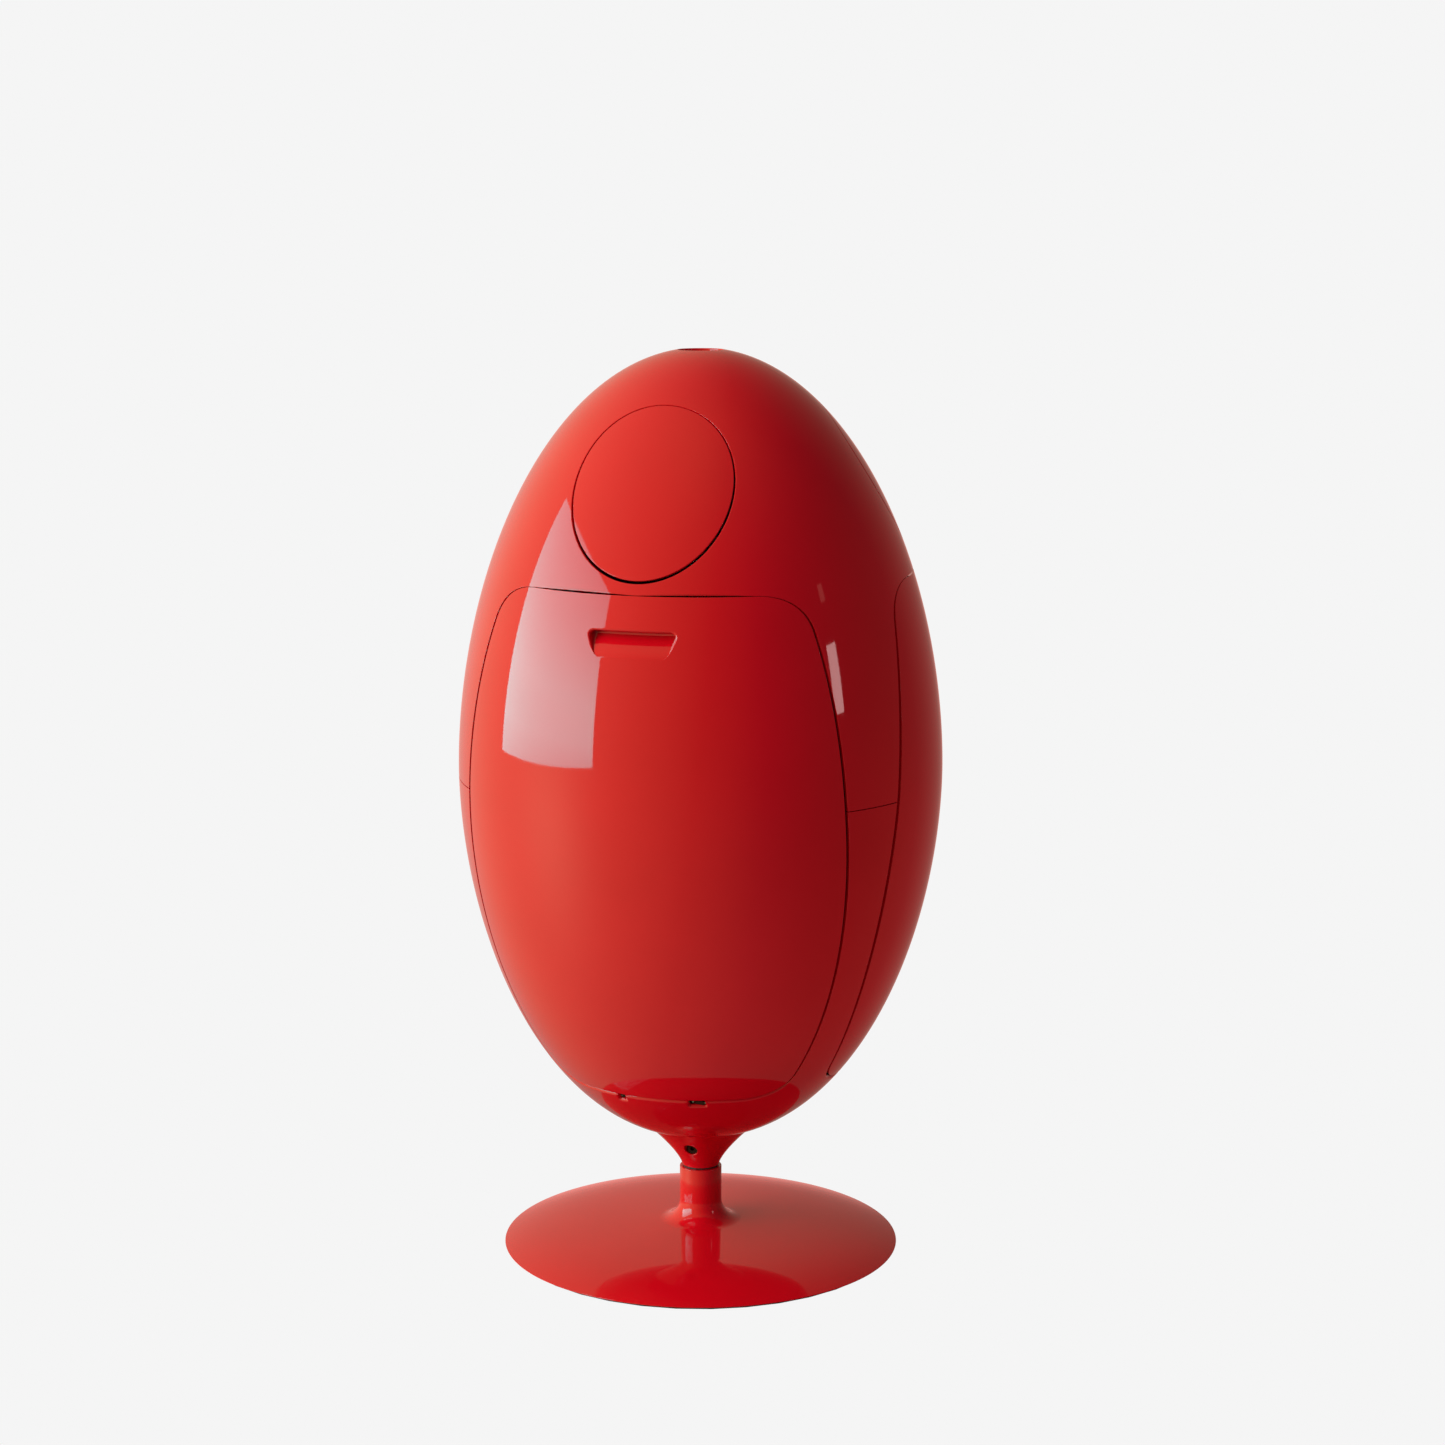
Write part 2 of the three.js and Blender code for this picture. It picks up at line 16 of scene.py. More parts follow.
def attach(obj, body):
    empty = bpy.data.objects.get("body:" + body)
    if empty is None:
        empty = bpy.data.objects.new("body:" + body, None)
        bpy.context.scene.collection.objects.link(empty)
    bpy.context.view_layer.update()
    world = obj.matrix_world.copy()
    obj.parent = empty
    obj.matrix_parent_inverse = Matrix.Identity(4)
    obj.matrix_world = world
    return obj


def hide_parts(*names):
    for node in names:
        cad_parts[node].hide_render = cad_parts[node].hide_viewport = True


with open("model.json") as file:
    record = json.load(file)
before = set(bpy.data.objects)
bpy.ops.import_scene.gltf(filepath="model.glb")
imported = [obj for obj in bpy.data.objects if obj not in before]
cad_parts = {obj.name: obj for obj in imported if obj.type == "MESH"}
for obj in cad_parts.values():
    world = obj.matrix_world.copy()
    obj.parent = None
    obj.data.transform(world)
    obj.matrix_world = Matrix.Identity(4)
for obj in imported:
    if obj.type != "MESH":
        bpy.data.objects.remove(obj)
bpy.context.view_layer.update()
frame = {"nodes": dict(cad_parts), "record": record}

MM = 0.001
SECTORS = 3
SECTOR_ANGLE = 2 * math.pi / SECTORS

# ---- the egg and its openings: the driving sizes of the CAD model ----
TOP_Z = 0.950
WAIST_Z = 0.5193
BOTTOM_Z = 0.1229
EGG_RADIUS = 0.251
UPPER_CURVE = (1.897, 2.0237)
LOWER_CURVE = (1.8689, 2.1605)
SHELL = 0.004
SPLIT_Z = 0.511

# ---- gaps ----
SPLIT_GAP = 0.45 * MM                     # half of the hairline between the two shells
SEAM = 1.0 * MM                           # half of the gap round a door
TOP_SEAM = 0.2 * MM                       # and along its top
SIDE_EASE = (0.7 * MM, 0.2 * MM)          # what the doorway's left and right sides stand back further

# ---- door ----

DOOR_TOP, DOOR_BOTTOM = 0.724, 0.201
DOOR_HALF_WIDTH, DOOR_WIDEST_Z = 0.197, 0.480
DOOR_RISE_UP, DOOR_RISE_DOWN = 0.375, 0.343
DOOR_CORNER_TOP = (0.112, 0.690)
DOOR_CORNER_BOTTOM = (0.080, 0.224)
HINGE_X, SLOT_BOTTOM = 0.040, 0.1933
SLOT_HALF_WIDTHS = (0.00375, 0.008)       # of the left and the right hinge slot

# ---- finger pocket ----
POCKET_TOP, POCKET_BOTTOM = 0.6905, 0.664
POCKET_TOP_HALF, POCKET_BOTTOM_HALF = 0.046, 0.036
POCKET_CORNER = 0.009
POCKET_DEPTH, POCKET_SCOOP = 0.021, 1.8   # how deep at the top, and the power of its deepening
POCKET_WALL = 0.003
POCKET_RIM, POCKET_COVE = 2.4 * MM, 5 * MM

# ---- push flap: radius and height of the middle, in the front view ----
FLAP_HOLE = (0.0825, 0.8175)
FLAP_DISC = (0.0808, 0.8186)

# ---- bucket: its straight sides in plan; its front follows the egg ----
BUCKET_BOTTOM, BUCKET_TOP, BUCKET_WALL = 0.212, 0.655, 0.0025
BUCKET_BEHIND_FACE = 0.012
BUCKET_HALF, BUCKET_BACK_HALF = 0.116, 0.060
BUCKET_BACK, BUCKET_BEND, BUCKET_FRONT = -0.044, -0.080, -0.260
BUCKET_MIDDLE = (0.0, -0.105)
BUCKET_CORNER, BUCKET_COVE = 2.5 * MM, 5 * MM

# ---- neck, apex and pedestal ----
NECK_BOTTOM, NECK_TOP = 0.086, 0.1319
NECK_RADIUS, NECK_TOP_RADIUS = 0.0196, 0.057
NECK_HOLE_RADIUS = 0.0578                 # in the lower shell
SCREW_Z, SCREW_HOLE_RADIUS, SCREW_SEAT = 0.111, 0.007, 0.024
APEX_RADIUS = 0.0235
BASE_RADIUS, BASE_RIM_Z = 0.209, 0.0042
BASE_SLOPE, BASE_DOME, BASE_POWER = 0.051, 0.0128, 5
STEM_RADIUS, STEM_TOP, STEM_FILLET = 0.0211, 0.084, 0.022

# ---- edges and mesh ----
EDGE_ROUNDING = 0.3 * MM
TOP_ROUNDING = 0.15 * MM                  # along a door's top seam
SPLIT_ROUNDING = 0.15 * MM                # along the split line
SLOT_ROUNDING = 0.2 * MM
FLAP_ROUNDING = 0.7 * MM
SILL_ROUNDING = 3.0 * MM                  # along the doorway's foot
SILL_START, SILL_RISE = 0.222, 16 * MM    # where that rounding sets in, and over what height
SPACING = 8.5 * MM                        # of the points on a skin
EDGE_STEP = 3 * MM                        # of the points along a seam


# ------------------------------------------------------------------ surfaces of revolution

class Revolved:
    """A surface of revolution about +Z. Its chart is flat: angle times chart_radius, and arc length."""

    def __init__(self, radius, low, high, chart_radius):
        self.radius = radius
        self.chart_radius = chart_radius
        turn = np.linspace(-math.pi / 2, math.pi / 2, 4001)
        self.heights = (low + high) / 2 + (high - low) / 2 * np.sin(turn)
        steps = np.hypot(np.diff(self.heights), np.diff(radius(self.heights)))
        self.lengths = np.concatenate([[0], np.cumsum(steps)])

    def point(self, angle, z):
        r = self.radius(z)
        return np.stack([r * np.sin(angle), -r * np.cos(angle), z + 0 * angle], -1)

    def normal(self, angle, z):
        slope = (self.radius(z + 1e-5) - self.radius(z - 1e-5)) / 2e-5
        size = np.hypot(1, slope)
        return np.stack([np.sin(angle) / size, -np.cos(angle) / size, -slope / size], -1)

    def chart(self, points, start=None):
        """Flat coordinates of points near the surface.

        start is the first point's angle, for a row that wraps.
        """
        angle = np.arctan2(points[:, 0], -points[:, 1])
        if start is not None:
            angle = np.unwrap(angle)
            angle = angle + 2 * math.pi * round((start - angle[0]) / (2 * math.pi))
        return np.stack([angle * self.chart_radius, np.interp(points[:, 2], self.heights, self.lengths)], 1)

    def lift(self, flat):
        angle = flat[:, 0] / self.chart_radius
        z = np.interp(flat[:, 1], self.lengths, self.heights)
        return self.point(angle, z), self.normal(angle, z)

    def settle(self, points):
        """Points that are nearly on the surface, put onto it, and its normals there."""
        angle = np.arctan2(points[:, 0], -points[:, 1])
        normals = self.normal(angle, points[:, 2])
        rise = np.hypot(points[:, 0], points[:, 1]) - self.radius(points[:, 2])
        points = points - normals * (rise * np.hypot(normals[:, 0], normals[:, 1]))[:, None]
        return points, self.normal(angle, points[:, 2])

    def from_front(self, flat):
        """Points and normals under a front view's points (x across, z up)."""
        angle = np.arcsin(flat[:, 0] / self.radius(flat[:, 1]))
        return self.point(angle, flat[:, 1]), self.normal(angle, flat[:, 1])


def egg_radius(z):
    z = np.clip(np.asarray(z, float), BOTTOM_Z + 1e-9, TOP_Z - 1e-9)
    up = np.clip((z - WAIST_Z) / (TOP_Z - WAIST_Z), 0, 1)
    down = np.clip((WAIST_Z - z) / (WAIST_Z - BOTTOM_Z), 0, 1)
    upper = (1 - up ** UPPER_CURVE[0]) ** (1 / UPPER_CURVE[1])
    lower = (1 - down ** LOWER_CURVE[0]) ** (1 / LOWER_CURVE[1])
    return EGG_RADIUS * np.where(z >= WAIST_Z, upper, lower)


def neck_radius(z):
    t = np.clip((np.asarray(z, float) - NECK_BOTTOM) / (NECK_TOP - NECK_BOTTOM), 0, 1)
    return NECK_RADIUS + (NECK_TOP_RADIUS - NECK_RADIUS) * t ** 1.35


EGG = Revolved(egg_radius, BOTTOM_Z, TOP_Z, 0.226)
NECK = Revolved(neck_radius, NECK_BOTTOM, NECK_TOP, 0.035)


# ------------------------------------------------------------------ mesh building

def unit(vectors):
    return vectors / np.linalg.norm(vectors, axis=-1, keepdims=True)


def spin(points, turn):
    """Points turned about +Z, from azimuth 0 towards azimuth 90."""
    c, s = math.cos(turn), math.sin(turn)
    return points @ np.array([[c, s, 0], [-s, c, 0], [0, 0, 1]])


class Skin:
    """Collects faces with a true normal at each corner, and welds them into one closed mesh."""

    def __init__(self):
        self.batches = []

    def faces(self, points, normals, faces):
        """Triangles or quads, turned so that they face the way their corner normals do."""
        faces = np.asarray(faces)
        corners, corner_normals = points[faces], normals[faces]
        first, last = corners[:, 1] - corners[:, 0], corners[:, -1] - corners[:, 0]
        if faces.shape[1] == 4:
            first, last = corners[:, 2] - corners[:, 0], corners[:, 3] - corners[:, 1]
        away = (np.cross(first, last) * corner_normals.sum(1)).sum(1) < 0
        corners[away] = corners[away][:, ::-1]
        corner_normals[away] = corner_normals[away][:, ::-1]
        self.batches.append((corners, corner_normals))

    def strip(self, rows, closed=True):
        """Quads between neighbouring rows. A row is its points and its normals."""
        count = len(rows[0][0])
        index = np.arange(count if closed else count - 1)
        follow = (index + 1) % count
        quads = np.stack([index, follow, follow + count, index + count], 1)
        for (p, n), (q, m) in zip(rows, rows[1:]):
            self.faces(np.vstack([p, q]), np.vstack([n, m]), quads)

    def turned(self, runs, start=0.0, segments=192):
        """A lathe: each run is a smooth line of (radius, height), with the surface on its right-hand side."""
        angle = start + np.arange(segments) * 2 * math.pi / segments
        for run in runs:
            run = np.asarray(run, float)
            ahead = np.gradient(run, axis=0)
            across = unit(np.stack([ahead[:, 1], -ahead[:, 0]], 1))
            rows = []
            for (r, z), (nr, nz) in zip(run, across):
                ring = np.stack([r * np.sin(angle), -r * np.cos(angle), np.full(segments, z)], 1)
                lean = np.stack([nr * np.sin(angle), -nr * np.cos(angle), np.full(segments, nz)], 1)
                rows.append((ring, lean))
            self.strip(rows)

    def build(self, name, turns=(0.0,)):
        """The welded mesh object. turns are the copies about +Z that are welded to each other."""
        polygons, normals = [], []
        for turn in turns:
            for corners, corner_normals in self.batches:
                size = corners.shape
                polygons += list(spin(corners.reshape(-1, 3), turn).reshape(size))
                normals += list(spin(corner_normals.reshape(-1, 3), turn).reshape(size))
        flat = np.vstack(polygons)
        _, first, where = np.unique(np.round(flat, 6), axis=0, return_index=True, return_inverse=True)
        where = where.ravel()
        faces, kept, start = [], [], 0
        for polygon, normal in zip(polygons, normals):
            ids = where[start:start + len(polygon)]
            start += len(polygon)
            keep = [i for i in range(len(ids)) if ids[i] != ids[i - 1]]
            if len(keep) > 2 and len(set(ids[keep])) == len(keep):
                faces.append([int(ids[i]) for i in keep])
                kept.append(normal[keep])
        mesh = bpy.data.meshes.new(name)
        mesh.from_pydata(flat[first].tolist(), [], faces)
        mesh.polygons.foreach_set("use_smooth", [True] * len(faces))
        mesh.normals_split_custom_set(unit(np.vstack(kept)).tolist())
        mesh.update()
        piece = bpy.data.objects.new(name, mesh)
        bpy.context.scene.collection.objects.link(piece)
        return piece


def inside(points, loops):
    """True for each point that lies inside an odd number of loops."""
    result = np.zeros(len(points), bool)
    for loop in loops:
        for (x1, y1), (x2, y2) in zip(loop, np.roll(loop, -1, axis=0)):
            if y1 != y2:
                at = x1 + (points[:, 1] - y1) * (x2 - x1) / (y2 - y1)
                result ^= ((y1 > points[:, 1]) != (y2 > points[:, 1])) & (points[:, 0] < at)
    return result


def triangulate(loops, spacing):
    """Points and triangles that fill flat loops. The loops' own points come first, in order."""
    border = np.vstack(loops)
    edges, start = [], 0
    for loop in loops:
        edges += [(start + i, start + (i + 1) % len(loop)) for i in range(len(loop))]
        start += len(loop)
    low, high = border.min(0), border.max(0)
    row_height = spacing * math.sqrt(3) / 2
    rows = []
    for j in range(int((high[1] - low[1]) / row_height) + 1):
        x = np.arange(low[0] + (j % 2) * spacing / 2, high[0], spacing)
        rows.append(np.stack([x, np.full_like(x, low[1] + (j + 0.5) * row_height)], 1))
    grid = np.vstack(rows)
    grid = grid[inside(grid, loops)]
    gaps = np.full(len(grid), np.inf)
    for part in np.array_split(border, len(border) // 100 + 1):
        gaps = np.minimum(gaps, np.linalg.norm(grid[:, None] - part[None], axis=2).min(1))
    points = np.vstack([border, grid[gaps > 0.6 * spacing]])
    result = delaunay_2d_cdt([Vector(p) for p in points * 1000], edges, [], 0, 1e-5, True)
    source = [ids[0] if ids else -1 for ids in result[3]]
    triangles = np.array([[source[i] for i in face] for face in result[2]])
    triangles = triangles[(triangles >= 0).all(1)]
    return points, triangles[inside(points[triangles].mean(1), loops)]


def fill(skin, surface, rows, depth=0.0, spacing=SPACING):
    """Covers the surface between closed rows, which run with the panel on their left.

    With a depth, it is the panel's back: it lies that far below the surface and faces the other way.
    """
    side = -1 if depth else 1
    feet = [surface.chart(points - normals * depth) for points, normals in rows]
    flat, triangles = triangulate(feet, spacing)
    points, normals = surface.lift(flat)
    points = points - normals * depth
    border = np.vstack([row[0] for row in rows])
    points[:len(border)] = border
    skin.faces(points, side * normals, triangles)


def fill_between(skin, surface, low_row, high_row, holes, edge_angle, depth=0.0, spacing=SPACING):
    """Covers a surface of revolution from -edge_angle to +edge_angle, between a low and a high row.

    The low row runs with rising angle and the high row with falling angle, and each ends at the edge
    angles, where the cover meets its neighbour.
    """
    side = -1 if depth else 1
    charts = []
    for (points, normals), start in ((low_row, -edge_angle), (high_row, edge_angle)):
        charts.append(surface.chart(points - normals * depth if depth else points, start))
    low, high = charts
    reach = edge_angle * surface.chart_radius
    count = max(2, int(round(abs(high[0][1] - low[-1][1]) / spacing)))
    lengths = np.linspace(low[-1][1], high[0][1], count + 1)[1:-1]
    right = np.stack([np.full(len(lengths), reach), lengths], 1)
    left = np.stack([np.full(len(lengths), -reach), lengths[::-1]], 1)
    hole_charts = [surface.chart(p - n * depth if depth else p) for p, n in holes]
    flat, triangles = triangulate([np.vstack([low, right, high, left])] + hole_charts, spacing)
    points, normals = surface.lift(flat)
    points = points - normals * depth
    after_low, after_right = len(low), len(low) + len(right)
    points[:after_low] = low_row[0]
    points[after_right:after_right + len(high)] = high_row[0]
    at = after_right + len(high) + len(left)
    for row in holes:
        points[at:at + len(row[0])] = row[0]
        at += len(row[0])
    skin.faces(points, side * normals, triangles)


# ------------------------------------------------------------------ panel edges

def inward(points, normals):
    """The direction along the surface into the panel, which lies on the left of its closed edge."""
    ahead = unit(np.roll(points, -1, axis=0) - np.roll(points, 1, axis=0))
    return unit(np.cross(normals, ahead))


def edge_rows(surface, points, normals, rounding, depth=SHELL, steps=5):
    """Rows round a panel's edge: a rounded lip, the wall and the inner lip."""
    into = inward(points, normals)
    rounding = np.broadcast_to(np.asarray(rounding, float), (len(points),))[:, None]
    face, face_normals = surface.settle(points + into * rounding)
    rows = [(face, face_normals)]
    for turn in np.linspace(0, math.pi / 2, steps)[1:]:
        s, c = math.sin(turn), math.cos(turn)
        lip = points + into * rounding * (1 - s) - normals * rounding * (1 - c)
        rows.append((lip, normals * c - into * s))
    inner = np.minimum(rounding * 0.7, 0.5 * MM)
    for turn in np.linspace(0, math.pi / 2, steps)[:-1]:
        s, c = math.sin(turn), math.cos(turn)
        lip = points + into * inner * (1 - c) - normals * (depth - inner * (1 - s))
        rows.append((lip, -into * c - normals * s))
    rows.append((face - face_normals * depth, -face_normals))
    return rows


def resample(points, step):
    """The same open line with even steps."""
    points = np.asarray(points, float)
    lengths = np.concatenate([[0], np.cumsum(np.linalg.norm(np.diff(points, axis=0), axis=1))])
    wanted = np.linspace(0, lengths[-1], max(4, int(round(lengths[-1] / step)) + 1))
    return np.stack([np.interp(wanted, lengths, column) for column in points.T], 1)


def resample_loop(points, step):
    return resample(np.vstack([points, points[:1]]), step)[:-1]


def joined(parts):
    """One line from lines that each start where the last one ends."""
    return np.vstack([parts[0]] + [part[1:] for part in parts[1:]])


# ------------------------------------------------------------------ outlines in a door's front view

def bend(a, b, c, count=12):
    """A quadratic curve from a to c with its corner at b."""
    t = np.linspace(0, 1, count)[:, None]
    return np.array(a) * (1 - t) ** 2 + np.array(b) * 2 * t * (1 - t) + np.array(c) * t ** 2


def rounded(corners, radii):
    """An open line through corners, each rounded by its own length."""
    corners = np.asarray(corners, float)
    parts = [corners[:1]]
    for i in range(1, len(corners) - 1):
        back, on = unit(corners[i - 1] - corners[i]), unit(corners[i + 1] - corners[i])
        parts.append(bend(corners[i] + back * radii[i - 1], corners[i], corners[i] + on * radii[i - 1], 8))
    return np.vstack(parts + [corners[-1:]])


def mirrored(half):
    """An anticlockwise loop from its right half, which runs from the foot's middle to the top's middle."""
    return np.vstack([half, (half[::-1] * (-1, 1))[1:-1]])


def door_side(z, grow):
    """The half width of the door's outline at a height."""
    rise = np.where(z > DOOR_WIDEST_Z, DOOR_RISE_UP, DOOR_RISE_DOWN)
    return (DOOR_HALF_WIDTH + grow) * np.sqrt(1 - ((z - DOOR_WIDEST_Z) / rise) ** 2)


def door_half(grow, slot=None, beside=0.0):
    """The right half of the door's outline, moved outwards by grow: its foot, and the rest.

    slot is the half width of a hinge slot that cuts the foot, beside what the side moves out further.
    """
    top, bottom = DOOR_TOP + math.copysign(TOP_SEAM, grow), DOOR_BOTTOM - grow
    low, high = DOOR_CORNER_BOTTOM[1], DOOR_CORNER_TOP[1]
    z = np.linspace(low, high, 200)
    corners, radii = [(0, bottom), (60 * MM, bottom)], []
    if slot:
        left, right = HINGE_X - slot, HINGE_X + slot
        corners[1:1] = [(left, bottom), (left, SLOT_BOTTOM), (right, SLOT_BOTTOM), (right, bottom)]
        radii = [1.0 * MM, 1.4 * MM, 1.4 * MM, 1.0 * MM]
    start = rounded(corners, radii)
    wide = grow + beside
    foot_end, head_end = (DOOR_CORNER_BOTTOM[0], bottom), (DOOR_CORNER_TOP[0], top)
    foot = bend(foot_end, (door_side(bottom, wide), bottom), (door_side(low, wide), low))
    head = bend((door_side(high, wide), high), (door_side(top, wide), top), head_end)
    rest = np.vstack([start[-1:], foot, np.stack([door_side(z, wide), z], 1)[1:-1], head, [(0, top)]])
    return start, rest


def disc_outline(radius, middle, step=EDGE_STEP):
    """A circle in the front view, anticlockwise."""
    angle = np.linspace(0, 2 * math.pi, int(2 * math.pi * radius / step), endpoint=False)
    return np.stack([radius * np.cos(angle), middle + radius * np.sin(angle)], 1)


def pocket_outline(grow):
    """The finger pocket's rounded trapezoid, anticlockwise."""
    top, bottom = POCKET_TOP + grow, POCKET_BOTTOM - grow
    wide, narrow = POCKET_TOP_HALF + grow, POCKET_BOTTOM_HALF + grow
    corners = [(0, bottom), (narrow, bottom), (wide, top), (0, top)]
    return mirrored(rounded(corners, [POCKET_CORNER, POCKET_CORNER]))


# ------------------------------------------------------------------ red panels

def pocket_depth(z):
    """How far the pocket's floor lies behind the door's face: a scoop that deepens upwards."""
    rise = np.clip((z - POCKET_BOTTOM) / (POCKET_TOP - POCKET_BOTTOM), 0, 1)
    return POCKET_DEPTH * rise ** POCKET_SCOOP


def pocket(skin, outline, back):
    """The pocket's rim, walls and floor, as fingers feel them or, with back, the housing behind them.

    Returns the row where it meets the door's face or the door's back.
    """
    points, normals = EGG.from_front(outline)
    into = inward(points, normals)
    into = unit(np.roll(into, 1, axis=0) + into + np.roll(into, -1, axis=0))
    side = -1 if back else 1
    least = 0.03 * MM
    depth = pocket_depth(points[:, 2])[:, None] + least
    cove = np.minimum(POCKET_COVE, depth / 3)
    depth = pocket_depth(points[:, 2:] - into[:, 2:] * cove) + least
    inwards = np.array([0.0, 1.0, 0.0])
    if back:
        depth = np.maximum(depth + POCKET_WALL, SHELL + 1 * MM)
        rim = np.full_like(depth, 0.5 * MM)
        face = points - normals * SHELL
        rows = [(face + into * rim, -normals), (face, -normals)]
    else:
        sharper_on_top = 1 - 0.6 * np.clip(-into[:, 2:], 0, 1)
        rim = np.minimum(POCKET_RIM * sharper_on_top, depth / 3)
        face, face_normals = EGG.settle(points + into * rim)
        rows = [(face, face_normals)]
        for turn in np.linspace(0, math.pi / 2, 6)[1:]:
            s, c = math.sin(turn), math.cos(turn)
            lip = points + into * rim * (1 - s) - normals * rim * (1 - c)
            rows.append((lip, normals * c - into * s))
    for turn in np.linspace(0, math.pi / 2, 6):
        s, c = math.sin(turn), math.cos(turn)
        at = points - into * cove * (1 - c) + inwards * (depth - cove * (1 - s))
        rows.append((at, side * (-into * c - inwards * s)))
    skin.strip(rows)

    def floor(flat):
        extra = POCKET_WALL if back else 0
        return EGG.from_front(flat)[0] + inwards * (pocket_depth(flat[:, 1]) + extra)[:, None]

    border = rows[-1][0]
    flat, triangles = triangulate([border[:, [0, 2]]], 2.5 * MM)
    across = floor(flat + (1e-5, 0)) - floor(flat - (1e-5, 0))
    up = floor(flat + (0, 1e-5)) - floor(flat - (0, 1e-5))
    surface = floor(flat)
    surface[:len(border)] = border
    skin.faces(surface, side * unit(np.cross(across, up)), triangles)
    return rows[0]


def door_skin():
    """A door's face and back with rounded edges, and the finger pocket and its housing."""
    skin = Skin()
    outline = resample_loop(mirrored(joined(door_half(-SEAM))), EDGE_STEP)
    rounding = np.where(outline[:, 1] > DOOR_TOP - 4 * MM, TOP_ROUNDING, EDGE_ROUNDING)
    rows = edge_rows(EGG, *EGG.from_front(outline), rounding)
    skin.strip(rows)
    rim = pocket(skin, resample_loop(pocket_outline(0.0), 0.9 * MM)[::-1], back=False)
    fill(skin, EGG, [rows[0], rim])
    rim = pocket(skin, resample_loop(pocket_outline(POCKET_WALL), 1.2 * MM)[::-1], back=True)
    fill(skin, EGG, [rows[-1], rim], SHELL)
    return skin


def flap_skin():
    """A flap's face and back with rounded edges."""
    skin = Skin()
    rows = edge_rows(EGG, *EGG.from_front(disc_outline(*FLAP_DISC)), FLAP_ROUNDING)
    skin.strip(rows)
    fill(skin, EGG, [rows[0]])
    fill(skin, EGG, [rows[-1]], SHELL)
    return skin


def shell_edge(split, upper):
    """One sector of a shell's edge, along the split line and round the doorway."""
    halves = []
    for slot, beside in zip(SLOT_HALF_WIDTHS, SIDE_EASE):
        foot, rest = door_half(SEAM, None if upper else slot, beside)
        angles = np.stack([np.arcsin(rest[:, 0] / egg_radius(rest[:, 1])), rest[:, 1]], 1)
        at = np.argmax(angles[:, 1] > split)
        share = (split - angles[at - 1, 1]) / (angles[at, 1] - angles[at - 1, 1])
        crossing = angles[at - 1] + (angles[at] - angles[at - 1]) * share
        parts = [(np.linspace((SECTOR_ANGLE / 2, split), crossing, 60), EDGE_STEP)]
        if upper:
            parts.append((np.vstack([crossing, angles[at:]]), EDGE_STEP))
        else:
            parts.append((np.vstack([angles[:at], crossing])[::-1], EDGE_STEP))
            foot_angles = np.stack([np.arcsin(foot[:, 0] / egg_radius(foot[:, 1])), foot[:, 1]], 1)
            parts.append((foot_angles[::-1], 0.5 * MM))
        halves.append(joined([resample(EGG.point(line[:, 0], line[:, 1]), step) for line, step in parts]))
    whole = joined([halves[0] * (-1, 1, 1), halves[1][::-1]])
    return whole if upper else whole[::-1]


def shell_rounding(edge, split, upper):
    """A rounding for each point of a shell's edge: a hairline at the split, a broad sill under the door."""
    x, z = edge[:, 0], edge[:, 2]
    rounding = np.minimum(EDGE_ROUNDING, SPLIT_ROUNDING + np.abs(z - split) * 0.3)
    if upper:
        return np.where(z > DOOR_TOP - 4 * MM, TOP_ROUNDING, rounding)
    rise = np.clip((SILL_START - z) / SILL_RISE, 0, 1)
    rounding = rounding + (SILL_ROUNDING - rounding) * rise * rise * (3 - 2 * rise)
    slot = np.where(x < 0, *SLOT_HALF_WIDTHS)
    beside_slot = np.clip(np.abs(np.abs(x) - HINGE_X) - slot, 0, 1)
    below_foot = np.clip(DOOR_BOTTOM - SEAM - z, 0, 1)
    from_slot = np.hypot(beside_slot, below_foot * 10)
    return np.minimum(rounding, SLOT_ROUNDING + np.clip(from_slot - 1 * MM, 0, 1) * 0.7)


def full_circle(part):
    """A closed loop from one sector's line, whose two ends are a sector apart."""
    rising = part[0][0] < part[-1][0]
    turns = [(k if rising else -k) * SECTOR_ANGLE for k in range(SECTORS)]
    return np.vstack([spin(part[:-1], turn) for turn in turns])


def ring_line(surface, z, count, rising, edge_angle=SECTOR_ANGLE / 2):
    """A level line on a surface of revolution, from one edge angle to the other."""
    angle = np.linspace(-edge_angle, edge_angle, count + 1)
    return surface.point(angle if rising else angle[::-1], np.full(count + 1, z))


def height_of_radius(surface, radius, near_top):
    """The height at which a surface of revolution has that radius."""
    half = len(surface.heights) // 2
    heights = surface.heights[half:] if near_top else surface.heights[:half]
    radii = surface.radius(heights)
    order = np.argsort(radii)
    return float(np.interp(radius, radii[order], heights[order]))


def shell_rows(part, rounding):
    """Rows round a whole shell's edge, and how many of each row's points one sector holds."""
    loop = full_circle(part)
    angle = np.arctan2(loop[:, 0], -loop[:, 1])
    if np.ndim(rounding):
        rounding = np.tile(rounding[:-1], SECTORS)
    return edge_rows(EGG, loop, EGG.normal(angle, loop[:, 2]), rounding)


def sector_of(row, count):
    """The first sector's part of a row that runs round the whole shell."""
    return row[0][:count], row[1][:count]


